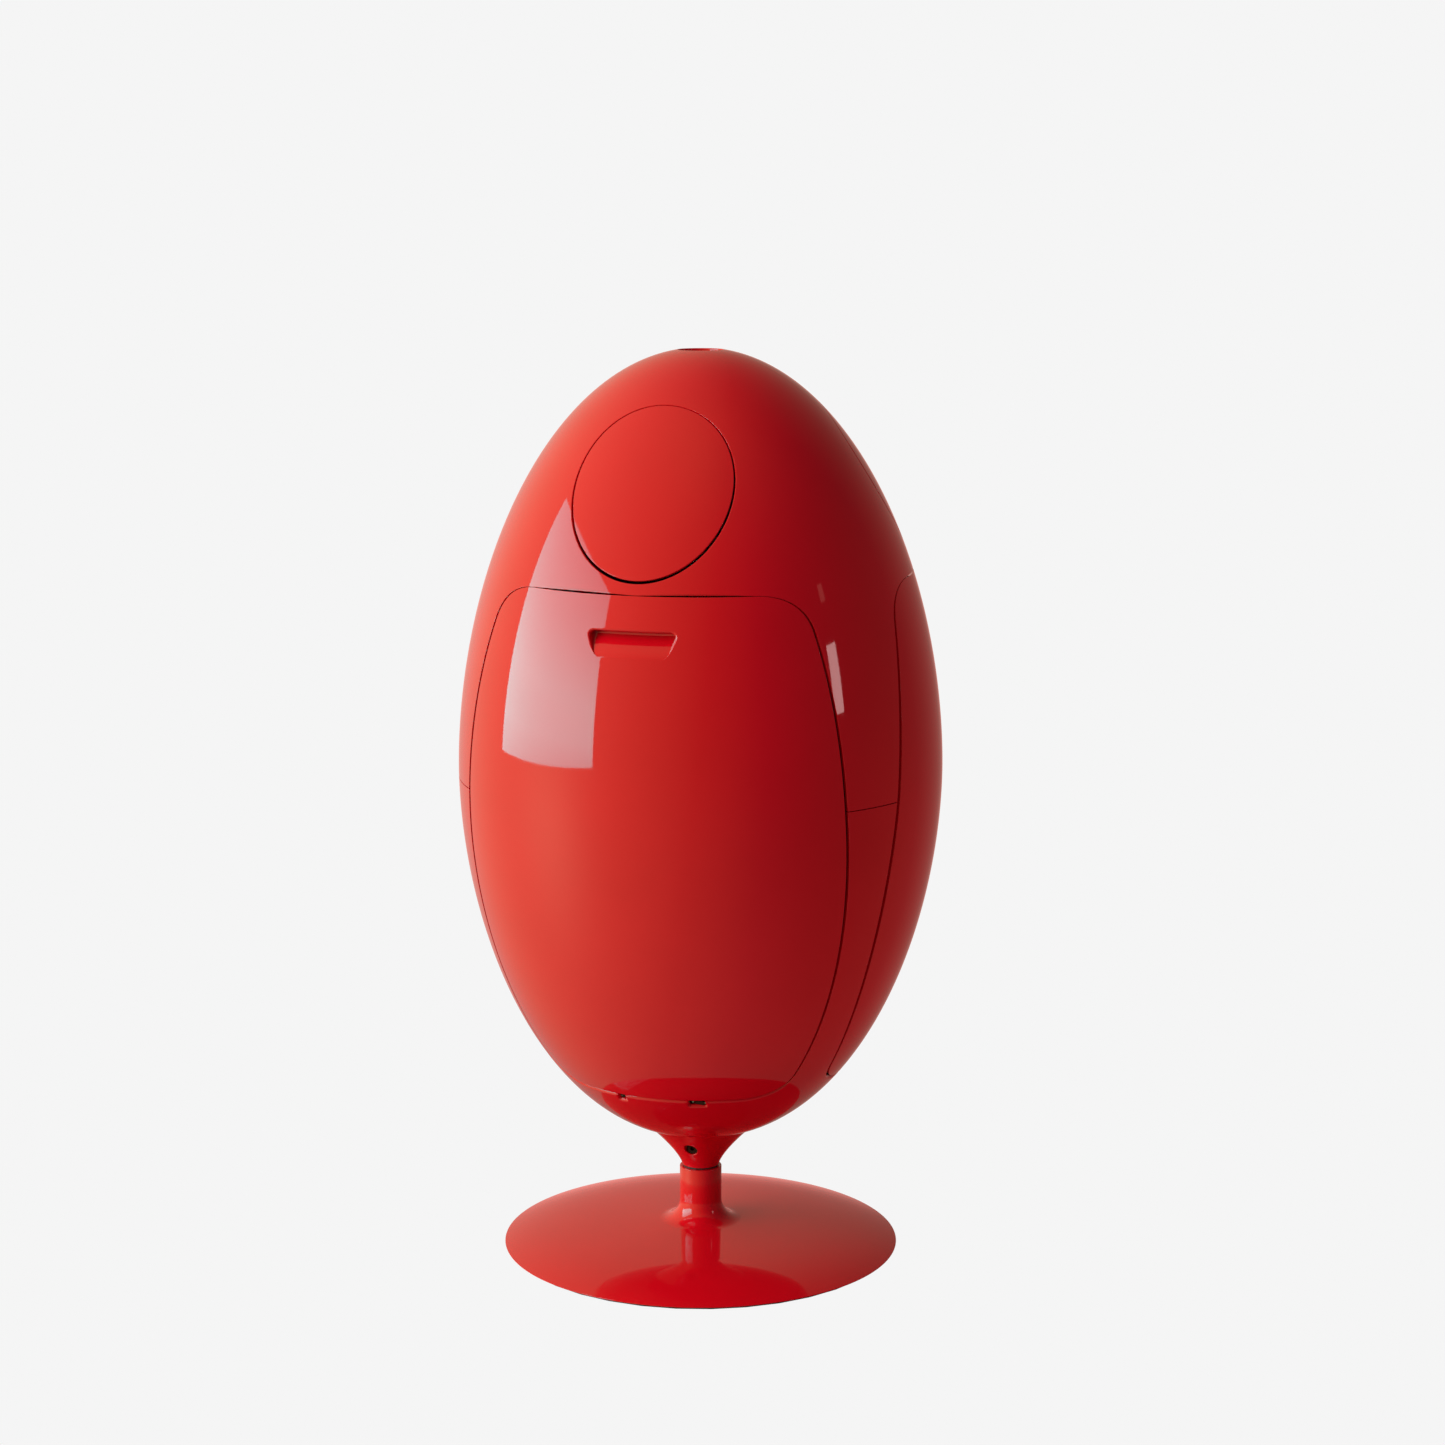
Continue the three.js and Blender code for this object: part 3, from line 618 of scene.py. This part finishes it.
def shell_skin(upper):
    """A third of a shell, open where it meets the next third; with the whole of its edges' rows."""
    skin = Skin()
    split = SPLIT_Z + (SPLIT_GAP if upper else -SPLIT_GAP)
    edge = shell_edge(split, upper)
    edge_row = shell_rows(edge, shell_rounding(edge, split, upper))
    if upper:
        z = height_of_radius(EGG, APEX_RADIUS, True)
    else:
        z = height_of_radius(EGG, NECK_HOLE_RADIUS, False)
    end = ring_line(EGG, z, 40, rising=not upper)
    end_row = shell_rows(end, 0.8 * MM if upper else 0.2 * MM)
    sector_angle = SECTOR_ANGLE / 2
    hole_rows = []
    if upper:
        outline = disc_outline(*FLAP_HOLE)[::-1]
        hole_rows = edge_rows(EGG, *EGG.from_front(outline), FLAP_ROUNDING)
        skin.strip(hole_rows)
    for depth, k in ((0.0, 0), (SHELL, -1)):
        edge_part, end_part = sector_of(edge_row[k], len(edge)), sector_of(end_row[k], len(end))
        low, high = (edge_part, end_part) if upper else (end_part, edge_part)
        holes = [hole_rows[k]] if upper else []
        fill_between(skin, EGG, low, high, holes, sector_angle, depth)
    for rows, part in ((edge_row, edge), (end_row, end)):
        pieces = [sector_of(row, len(part)) for row in rows]
        skin.strip(pieces, closed=False)
    return skin


def neck_skin():
    """The trumpet under the egg with its counterbored screw hole, and the spigot and bore inside."""
    skin = Skin()
    segments = 96
    low_z, high_z = NECK_BOTTOM + 0.6 * MM, NECK_TOP - 0.2 * MM
    rings = []
    for z, rising in ((low_z, True), (high_z, False)):
        line = ring_line(NECK, z, segments, rising, math.pi)
        angle = np.arctan2(line[:, 0], -line[:, 1])
        rings.append((line, NECK.normal(angle, line[:, 2])))
    outline = disc_outline(SCREW_HOLE_RADIUS, SCREW_Z, 0.7 * MM)[::-1]
    rim = edge_rows(NECK, *NECK.from_front(outline), 0.9 * MM)[:5]
    edge = rim[-1][0]
    towards = unit(np.array([0, 0, SCREW_Z]) - edge * (1, 0, 1))
    seat = edge * (1, 0, 1) - np.array([0, SCREW_SEAT, 0])
    skin.strip(rim + [(edge, towards), (seat, towards)])
    flat, triangles = triangulate([seat[:, [0, 2]]], 1.5 * MM)
    floor = np.stack([flat[:, 0], np.full(len(flat), -SCREW_SEAT), flat[:, 1]], 1)
    skin.faces(floor, np.tile([0.0, -1.0, 0.0], (len(flat), 1)), triangles)
    fill_between(skin, NECK, rings[0], rings[1], [rim[0]], math.pi, spacing=2.5 * MM)
    top_r, low_r = float(neck_radius(high_z)), float(neck_radius(low_z))
    profile = [(top_r, high_z), (NECK_TOP_RADIUS, 0.1325), (NECK_TOP_RADIUS, 0.137), (0.026, 0.137),
               (0.026, 0.186), (0.013, 0.186), (0.013, NECK_BOTTOM), (low_r, NECK_BOTTOM), (low_r, low_z)]
    skin.turned([softened(profile, 0.5 * MM)], -math.pi, segments)
    return skin


def softened(corners, radius, steps=5):
    """An open line through corners, each rounded to an arc.

    radius is one number, or one for each inner corner.
    """
    corners = np.asarray(corners, float)
    radii = np.broadcast_to(radius, (len(corners) - 2,))
    parts = [corners[:1]]
    for i in range(1, len(corners) - 1):
        back, on = unit(corners[i - 1] - corners[i]), unit(corners[i + 1] - corners[i])
        half = math.acos(np.clip(back @ on, -1, 1)) / 2
        reach = radii[i - 1] / math.tan(half)
        middle = corners[i] + unit(back + on) * radii[i - 1] / math.sin(half)
        start, end = corners[i] + back * reach - middle, corners[i] + on * reach - middle
        sweep = math.pi - 2 * half
        for t in np.linspace(0, 1, steps + 1):
            direction = start * math.sin((1 - t) * sweep) + end * math.sin(t * sweep)
            parts.append((middle + direction / math.sin(sweep))[None])
    return np.vstack(parts + [corners[-1:]])


def base_top(r):
    """Height of the base's upper face: nearly flat by the stem, rolling down more and more to the rim."""
    return BASE_RIM_Z + BASE_SLOPE * (BASE_RADIUS - r) + BASE_DOME * (1 - (r / BASE_RADIUS) ** BASE_POWER)


def base_skin():
    """A shallow dome, filleted into the straight stem; hollow underneath."""
    skin = Skin()
    bore, fillet, underside = 0.0094, STEM_FILLET, 0.0035
    dome = [(r, base_top(r)) for r in np.linspace(BASE_RADIUS - 0.3 * MM, STEM_RADIUS + fillet, 60)]
    low, high = dome[0], dome[-1]
    hollow = [(r - 2 * MM, base_top(r) - 4.4 * MM) for r in (0.120, 0.150, 0.172, 0.185)]
    bore_corners = [(bore, 0.05), (bore, 0.021), (0.042, 0.0204)]
    rim_corners = [(hollow[-1][0] + 2 * MM, underside), (BASE_RADIUS, underside), low]
    radii = [0.2 * MM] + [2 * MM] * 5 + [0.8 * MM, 0.4 * MM]
    under = softened(bore_corners + hollow + rim_corners, radii, 6)
    curl = BASE_POWER * BASE_DOME * (high[0] / BASE_RADIUS) ** (BASE_POWER - 1) / BASE_RADIUS
    lean = math.atan(BASE_SLOPE + curl)
    turns = np.linspace(lean, math.pi / 2, 16)
    middle = (high[0] + fillet * math.sin(lean), high[1] + fillet * math.cos(lean))
    cove = [(middle[0] - fillet * math.sin(a), middle[1] - fillet * math.cos(a)) for a in turns]
    stem_radius = middle[0] - fillet
    stem_corners = [(stem_radius, middle[1]), (stem_radius, STEM_TOP), (bore, STEM_TOP), (bore, 0.05)]
    stem = softened(stem_corners, [0.6 * MM, 0.4 * MM], 6)
    skin.turned([under, dome, cove, stem], 0.0, 256)
    return skin


def bucket_ring(z, inset, angles):
    """The bucket's outline at a height, moved inwards by inset, with rounded corners."""
    heights = EGG.heights[100:-100]
    ahead = np.zeros(len(heights))
    behind = EGG.point(ahead, heights) - EGG.normal(ahead, heights) * BUCKET_BEHIND_FACE
    radius = np.interp(z, behind[:, 2], -behind[:, 1]) - inset
    middle = np.array(BUCKET_MIDDLE)
    ways = np.stack([np.sin(angles), -np.cos(angles)], 1)
    along = ways @ middle
    reaches = [np.sqrt(along ** 2 + radius ** 2 - middle @ middle) - along]
    right = [(BUCKET_BACK_HALF, BUCKET_BACK), (BUCKET_HALF, BUCKET_BEND), (BUCKET_HALF, BUCKET_FRONT)]
    corners = np.array([(-right[0][0], right[0][1])] + right + [(-x, y) for x, y in right[:0:-1]])
    for a, b in zip(corners, np.roll(corners, -1, axis=0)):
        out = unit(np.array([b[1] - a[1], a[0] - b[0]]))
        out *= np.sign((a - middle) @ out)
        facing = ways @ out
        reaches.append(np.where(facing > 0.02, ((a - middle) @ out - inset) / np.maximum(facing, 0.02), 1.0))
    reach = -BUCKET_CORNER * np.log(np.exp(-np.array(reaches) / BUCKET_CORNER).sum(0))
    return np.column_stack([middle + ways * reach[:, None], np.full(len(angles), z)])


def bucket_skin():
    """A thin-walled bin whose front follows the egg, with rounded corners and a rounded rim."""
    skin = Skin()
    angles = np.linspace(0, 2 * math.pi, 180, endpoint=False)
    quarter, around = np.linspace(0, math.pi / 2, 7), np.linspace(0, math.pi, 9)
    cove, lip = BUCKET_COVE, BUCKET_WALL / 2
    levels = np.linspace(BUCKET_BOTTOM + BUCKET_WALL + cove, BUCKET_TOP - lip, 36)
    profile = [(cove * (1 - math.sin(a)), BUCKET_BOTTOM + cove * (1 - math.cos(a))) for a in quarter]
    profile += [(0.0, z) for z in levels[1:-1]]
    profile += [(lip * (1 - math.cos(a)), BUCKET_TOP - lip * (1 - math.sin(a))) for a in around]
    profile += [(BUCKET_WALL, z) for z in levels[-2:0:-1]]
    profile += [(BUCKET_WALL + cove * (1 - math.cos(a)), levels[0] - cove * math.sin(a)) for a in quarter]
    rings = np.array([bucket_ring(z, inset, angles) for inset, z in profile])
    around_ring = np.roll(rings, -1, axis=1) - np.roll(rings, 1, axis=1)
    normals = unit(np.cross(around_ring, np.gradient(rings, axis=0)))
    normals[0], normals[-1] = (0, 0, -1), (0, 0, 1)
    skin.strip(list(zip(rings, normals)))
    for ring, up in ((rings[0], -1.0), (rings[-1], 1.0)):
        flat, triangles = triangulate([ring[:, :2]], 12 * MM)
        floor = np.column_stack([flat, np.full(len(flat), ring[0, 2])])
        skin.faces(floor, np.tile([0.0, 0.0, up], (len(floor), 1)), triangles)
    return skin


def apex_skin():
    """The cup in the egg's top: a flange under the shell, a lip in its hole and a bored floor."""
    skin = Skin()
    under, flange_low, flange_high, lip_low, lip_top, floor = 0.926, 0.9365, 0.9396, 0.941, 0.9456, 0.930
    start, bore, cup, outside, flange = 0.012, 0.005, 0.0206, 0.023, 0.031
    corners = [(start, under), (outside, under), (outside, flange_low), (flange, flange_low),
               (flange, flange_high), (outside, lip_low), (outside, lip_top), (cup, lip_top),
               (cup, floor), (bore, floor), (bore, under), (start, under)]
    radii = [0.6 * MM] * 3 + [0.4 * MM] + [0.8 * MM] * 3 + [2 * MM] + [0.4 * MM] * 2
    skin.turned([softened(corners, radii)], 0.0, 96)
    return skin


# ------------------------------------------------------------------ materials

class Nodes:
    """A short way to wire shader nodes."""

    def __init__(self, tree):
        self.tree = tree

    def add(self, kind, *inputs, **settings):
        """A node of that kind. inputs fill its sockets in order: a socket is linked, a value is set."""
        node = self.tree.nodes.new(kind)
        named = {}
        for name, value in settings.items():
            if hasattr(node, name):
                setattr(node, name, value)
            else:
                named[name.replace("_", " ")] = value
        for socket, value in list(zip(node.inputs, inputs)) + [(node.inputs[k], v) for k, v in named.items()]:
            if isinstance(value, bpy.types.NodeSocket):
                self.tree.links.new(value, socket)
            elif value is not None:
                socket.default_value = value
        return node

    def ramp(self, value, stops):
        """Numbers along a ramp. stops are (position, number) or (position, colour)."""
        node = self.add("ShaderNodeValToRGB", value)
        elements = node.color_ramp.elements
        while len(elements) < len(stops):
            elements.new(0.5)
        for element, (position, colour) in zip(elements, stops):
            element.position = position
            element.color = (*colour, 1) if hasattr(colour, "__len__") else (colour, colour, colour, 1)
        return node.outputs["Color"]

    def maths(self, operation, *inputs):
        return self.add("ShaderNodeMath", *inputs, operation=operation).outputs[0]

    def vectors(self, operation, *inputs, **named):
        return self.add("ShaderNodeVectorMath", *inputs, operation=operation, **named).outputs

    def blend(self, share, first, second):
        """A colour that goes from first to second with share."""
        node = self.add("ShaderNodeMix", data_type="RGBA")
        for slot, value in ((0, share), (6, first), (7, second)):
            if isinstance(value, bpy.types.NodeSocket):
                self.tree.links.new(value, node.inputs[slot])
            else:
                node.inputs[slot].default_value = value
        return node.outputs[2]


def surface_material(name, tones, patch, rough, rough_patch, grain, grain_height, metallic):
    """A moulded or metal surface: colour and roughness drift, and a fine grain dents it.

    patch, rough_patch and grain are the sizes in metres of those three patterns.
    """
    dark, light = tones
    made = bpy.data.materials.new(name)
    made.use_nodes = True
    made.diffuse_color = (*light, 1)
    nodes = Nodes(made.node_tree)
    shader = made.node_tree.nodes["Principled BSDF"]
    place = nodes.add("ShaderNodeTexCoord").outputs["Object"]
    tone = nodes.add("ShaderNodeTexNoise", place, Scale=1 / patch, Detail=4.0).outputs[0]
    colour = nodes.ramp(tone, [(0.35, dark), (0.65, light)])
    made.node_tree.links.new(colour, shader.inputs["Base Color"])
    drift = nodes.add("ShaderNodeTexNoise", place, Scale=1 / rough_patch, Detail=5.0).outputs[0]
    roughness = nodes.add("ShaderNodeMapRange", drift, 0.3, 0.7, rough[0], rough[1]).outputs[0]
    made.node_tree.links.new(roughness, shader.inputs["Roughness"])
    dents = nodes.add("ShaderNodeTexNoise", place, Scale=1 / grain, Detail=3.0).outputs[0]
    bump = nodes.add("ShaderNodeBump", Strength=1.0, Distance=grain_height, Height=dents)
    made.node_tree.links.new(bump.outputs[0], shader.inputs["Normal"])
    shader.inputs["Metallic"].default_value = metallic
    shader.inputs["IOR"].default_value = 1.5
    return made


def dress(piece, made):
    piece.data.materials.clear()
    piece.data.materials.append(made)


# for each material slot: two tones, patch, roughness, its patch, grain, its height, metallic
FINISHES = {
    "red_gloss": (((0.58, 0.0018, 0.008), (0.61, 0.0024, 0.009)), 0.12, (0.03, 0.045), 0.02, 0.004, 1e-6, 0),
    "black_plastic": (((0.012, 0.012, 0.013), (0.02, 0.02, 0.021)), 0.03, (0.38, 0.52), 0.015, 0.0009, 2e-5, 0),
    "grey_plastic": (((0.10, 0.105, 0.115), (0.13, 0.135, 0.145)), 0.06, (0.40, 0.55), 0.03, 0.0012, 2e-5, 0),
    "nylon": (((0.016, 0.01, 0.01), (0.026, 0.016, 0.016)), 0.02, (0.42, 0.55), 0.01, 0.0007, 8e-6, 0),
    "rubber": (((0.01, 0.01, 0.01), (0.018, 0.018, 0.018)), 0.02, (0.72, 0.85), 0.02, 0.0008, 3e-5, 0),
    "bright_steel": (((0.42, 0.42, 0.43), (0.52, 0.52, 0.53)), 0.02, (0.20, 0.32), 0.006, 0.0006, 4e-6, 1),
    # zinc_steel's near-black, reddish tones are far darker than bare zinc plate: painted shade, so that the
    # screw deep in the neck's hole reads dark
    "zinc_steel": (((0.026, 0.01, 0.009), (0.05, 0.019, 0.018)), 0.025, (0.34, 0.48), 0.008, 0.001, 8e-6, 1),
    "spring_steel": (((0.26, 0.26, 0.27), (0.34, 0.34, 0.35)), 0.004, (0.24, 0.34), 0.002, 0.0004, 3e-6, 1),
    "ballast": (((0.03, 0.03, 0.031), (0.048, 0.047, 0.046)), 0.03, (0.62, 0.80), 0.012, 0.0016, 6e-5, 0),
}
finishes = {name: surface_material(name, *look) for name, look in FINISHES.items()}


# ------------------------------------------------------------------ assembly

def place(piece, body, slot, *nodes):
    """Says which body a skin rides on, which CAD nodes it stands for and which finish it has."""
    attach(piece, body)
    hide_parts(*nodes)
    dress(piece, finishes[slot])
    return piece


thirds = [k * SECTOR_ANGLE for k in range(SECTORS)]
place(base_skin().build("base"), "base", "red_gloss", "base_disc")
place(neck_skin().build("neck"), "egg", "red_gloss", "neck_collar")
place(apex_skin().build("apex"), "egg", "red_gloss", "apex_cup")
place(shell_skin(True).build("shell_upper", thirds), "egg", "red_gloss", "upper_shell")
place(shell_skin(False).build("shell_lower", thirds), "egg", "red_gloss", "lower_shell")
door, flap, bucket = door_skin(), flap_skin(), bucket_skin()
for k, turn in enumerate(thirds, 1):
    place(door.build(f"door_{k}_skin", [turn]), f"door_{k}", "red_gloss", f"door_panel_{k}")
    place(flap.build(f"flap_{k}_skin", [turn]), f"flap_{k}", "red_gloss", f"flap_disc_{k}")
    place(bucket.build(f"bucket_{k}_skin", [turn]), f"door_{k}", "black_plastic", f"bucket_{k}")

for part in frame["record"]["subparts"]:
    dress(frame["nodes"][part["node"]], finishes[part["material_slot"]])

# ------------------------------------------------------------------ camera

CAMERA_DISTANCE, CAMERA_HEIGHT = 3.0862, 1.1179
CAMERA_AZIMUTH, CAMERA_TILT = math.radians(17), math.radians(79.804)

scene = bpy.context.scene
camera_data = bpy.data.cameras.new("camera")
camera_data.sensor_width = 36
camera_data.lens = 75.226
camera_data.shift_x = 0.0151
camera = bpy.data.objects.new("camera", camera_data)
camera.location = (
    CAMERA_DISTANCE * math.sin(CAMERA_AZIMUTH), -CAMERA_DISTANCE * math.cos(CAMERA_AZIMUTH), CAMERA_HEIGHT)
camera.rotation_euler = (CAMERA_TILT, 0, CAMERA_AZIMUTH)
scene.collection.objects.link(camera)
scene.camera = camera
scene.view_settings.view_transform = "Standard"

# ------------------------------------------------------------------ studio

AMBIENT = 0.26                            # even light on every matt surface
PALE = 0.913                              # floor and backdrop, as the camera sees them


def towards(azimuth, elevation=0.0):
    """The direction at an azimuth in degrees and an elevation above the horizon."""
    a, e = math.radians(azimuth), math.radians(elevation)
    return Vector((math.sin(a) * math.cos(e), -math.cos(a) * math.cos(e), math.sin(e)))


def panel(name, azimuth, distance, left, right, bottom, top, strength, tint=(1, 1, 1)):
    """An upright glowing panel that only shows in reflections. strength(nodes, across, up) is its glow."""
    out, across = towards(azimuth) * distance, towards(azimuth + 90)
    frame_points = ((left, bottom), (right, bottom), (right, top), (left, top))
    corners = [tuple(out + across * x + Vector((0, 0, z))) for x, z in frame_points]
    mesh = bpy.data.meshes.new(name)
    mesh.from_pydata(corners, [], [(0, 1, 2, 3)])
    layer = mesh.uv_layers.new(name="UVMap")
    for corner, uv in zip(layer.data, ((0, 0), (1, 0), (1, 1), (0, 1))):
        corner.uv = uv
    made = bpy.data.materials.new(name)
    made.use_nodes = True
    made.node_tree.nodes.clear()
    nodes = Nodes(made.node_tree)
    spot = nodes.add("ShaderNodeSeparateXYZ", nodes.add("ShaderNodeTexCoord").outputs["UV"])
    glow = nodes.add("ShaderNodeEmission", (*tint, 1), strength(nodes, spot.outputs[0], spot.outputs[1]))
    nodes.add("ShaderNodeOutputMaterial", glow.outputs[0])
    mesh.materials.append(made)
    shown = bpy.data.objects.new(name, mesh)
    scene.collection.objects.link(shown)
    only_seen_by(shown, glossy=True)
    return shown


def only_seen_by(shown, camera=False, glossy=False):
    shown.visible_camera = camera
    shown.visible_glossy = glossy
    shown.visible_diffuse = shown.visible_transmission = shown.visible_volume_scatter = False
    shown.visible_shadow = False


COOL = (0.06, 0.93, 0.91)                  # on the red gloss this reads as a soft pink


def window_glow(nodes, across, up):
    """Brightest below the middle, and a little brighter at its left side."""
    height = nodes.ramp(up, [(0.0, 0.68), (0.12, 0.84), (0.3, 0.86), (0.6, 0.62), (1.0, 0.42)])
    side = nodes.add("ShaderNodeMapRange", across, 0.0, 1.0, 10.4, 8.6).outputs[0]
    return nodes.maths("MULTIPLY", height, side)


panel("window", -74.7, 2.011, -0.32, 1.87, 0.364, 1.881, window_glow, COOL)
panel("strip", 81.8, 2.0, -0.09, 0.09, 0.69, 1.10, lambda nodes, across, up: 5.8, (1.0, 0.72, 0.71))
panel("spot", 82.6, 2.0, -0.05, 0.05, 1.38, 1.51, lambda nodes, across, up: 1.0, (1.0, 0.45, 0.4))


def sun(name, azimuth, elevation, strength, softness):
    data = bpy.data.lights.new(name, "SUN")
    data.energy = strength
    data.angle = math.radians(softness)
    light = bpy.data.objects.new(name, data)
    light.rotation_euler = towards(azimuth, elevation).to_track_quat("Z", "Y").to_euler()
    light.visible_glossy = False
    scene.collection.objects.link(light)


sun("key_front", -43, 15, 2.57, 50)
sun("key_left", -73, 40, 1.32, 50)
sun("back_left", -133, 40, 0.48, 50)
sun("back_low", 137, -45, 1.16, 50)
sun("under", -103, -75, 1.08, 50)


# Soft glows of the studio that show in reflections: azimuth, elevation, power of the cosine, colour.
LOBES = (
    (-73, 15, 1, (0.445, 0.445, 0.256)),    # the bright left side
    (-133, 15, 1, (0.195, 0.195, 0.094)),
    (-88, 15, 2, (0.405, 0.405, 0.265)),
    (-43, 0, 1, (0.190, 0.190, 0.005)),
    (-58, -15, 20, (0.741, 0.741, 0.464)),  # its light on the floor
    (-28, -50, 2, (0.270, 0.270, 0.188)),
    (122, -30, 2, (0.052, 0.052, 0.005)),
    (17, 70, 8, (0.275, 0.275, 0.111)),     # overhead
    (-163, 15, 8, (0.047, 0.047, 0.035)),   # behind the egg, seen along its outline
    (-163, -8, 40, (0.600, 0.160, 0.140)),
    (172, -8, 8, (0.140, 0.000, 0.020)),
    (-138, -8, 8, (0.200, 0.080, 0.150)),
)
EVEN_GLOW = (0.0439, 0.0439, 0.0647)


def studio_world():
    """Pale for the camera, even for diffuse light, and for reflections brighter on the left."""
    world = bpy.data.worlds.new("studio")
    scene.world = world
    world.use_nodes = True
    world.node_tree.nodes.clear()
    nodes = Nodes(world.node_tree)
    looking = nodes.add("ShaderNodeTexCoord").outputs["Generated"]

    reflected = EVEN_GLOW
    for azimuth, elevation, power, colour in LOBES:
        direction = tuple(towards(azimuth, elevation))
        facing = nodes.maths("MAXIMUM", nodes.vectors("DOT_PRODUCT", looking, direction)["Value"], 0.0)
        lobe = nodes.vectors("SCALE", colour, Scale=nodes.maths("POWER", facing, power))
        reflected = nodes.vectors("ADD", reflected, lobe["Vector"])["Vector"]
    path = nodes.add("ShaderNodeLightPath").outputs
    lit = nodes.blend(path["Is Diffuse Ray"], reflected, (AMBIENT, AMBIENT, AMBIENT, 1))
    seen = nodes.blend(path["Is Camera Ray"], lit, (PALE, PALE, PALE, 1))
    background = nodes.add("ShaderNodeBackground", seen)
    nodes.add("ShaderNodeOutputWorld", background.outputs[0])


studio_world()

FLOOR_HALF, FLOOR_Z = 40, -0.0005
floor_mesh = bpy.data.meshes.new("floor")
floor_corners = [(x * FLOOR_HALF, y * FLOOR_HALF, FLOOR_Z) for x, y in ((-1, -1), (1, -1), (1, 1), (-1, 1))]
floor_mesh.from_pydata(floor_corners, [], [(0, 1, 2, 3)])
floor_glow = bpy.data.materials.new("floor")
floor_glow.use_nodes = True
floor_glow.node_tree.nodes.clear()
floor_nodes = Nodes(floor_glow.node_tree)
glow = floor_nodes.add("ShaderNodeEmission", (PALE, PALE, PALE, 1), 1.0)
floor_nodes.add("ShaderNodeOutputMaterial", glow.outputs[0])
floor_mesh.materials.append(floor_glow)
floor = bpy.data.objects.new("floor", floor_mesh)
scene.collection.objects.link(floor)
only_seen_by(floor, camera=True)
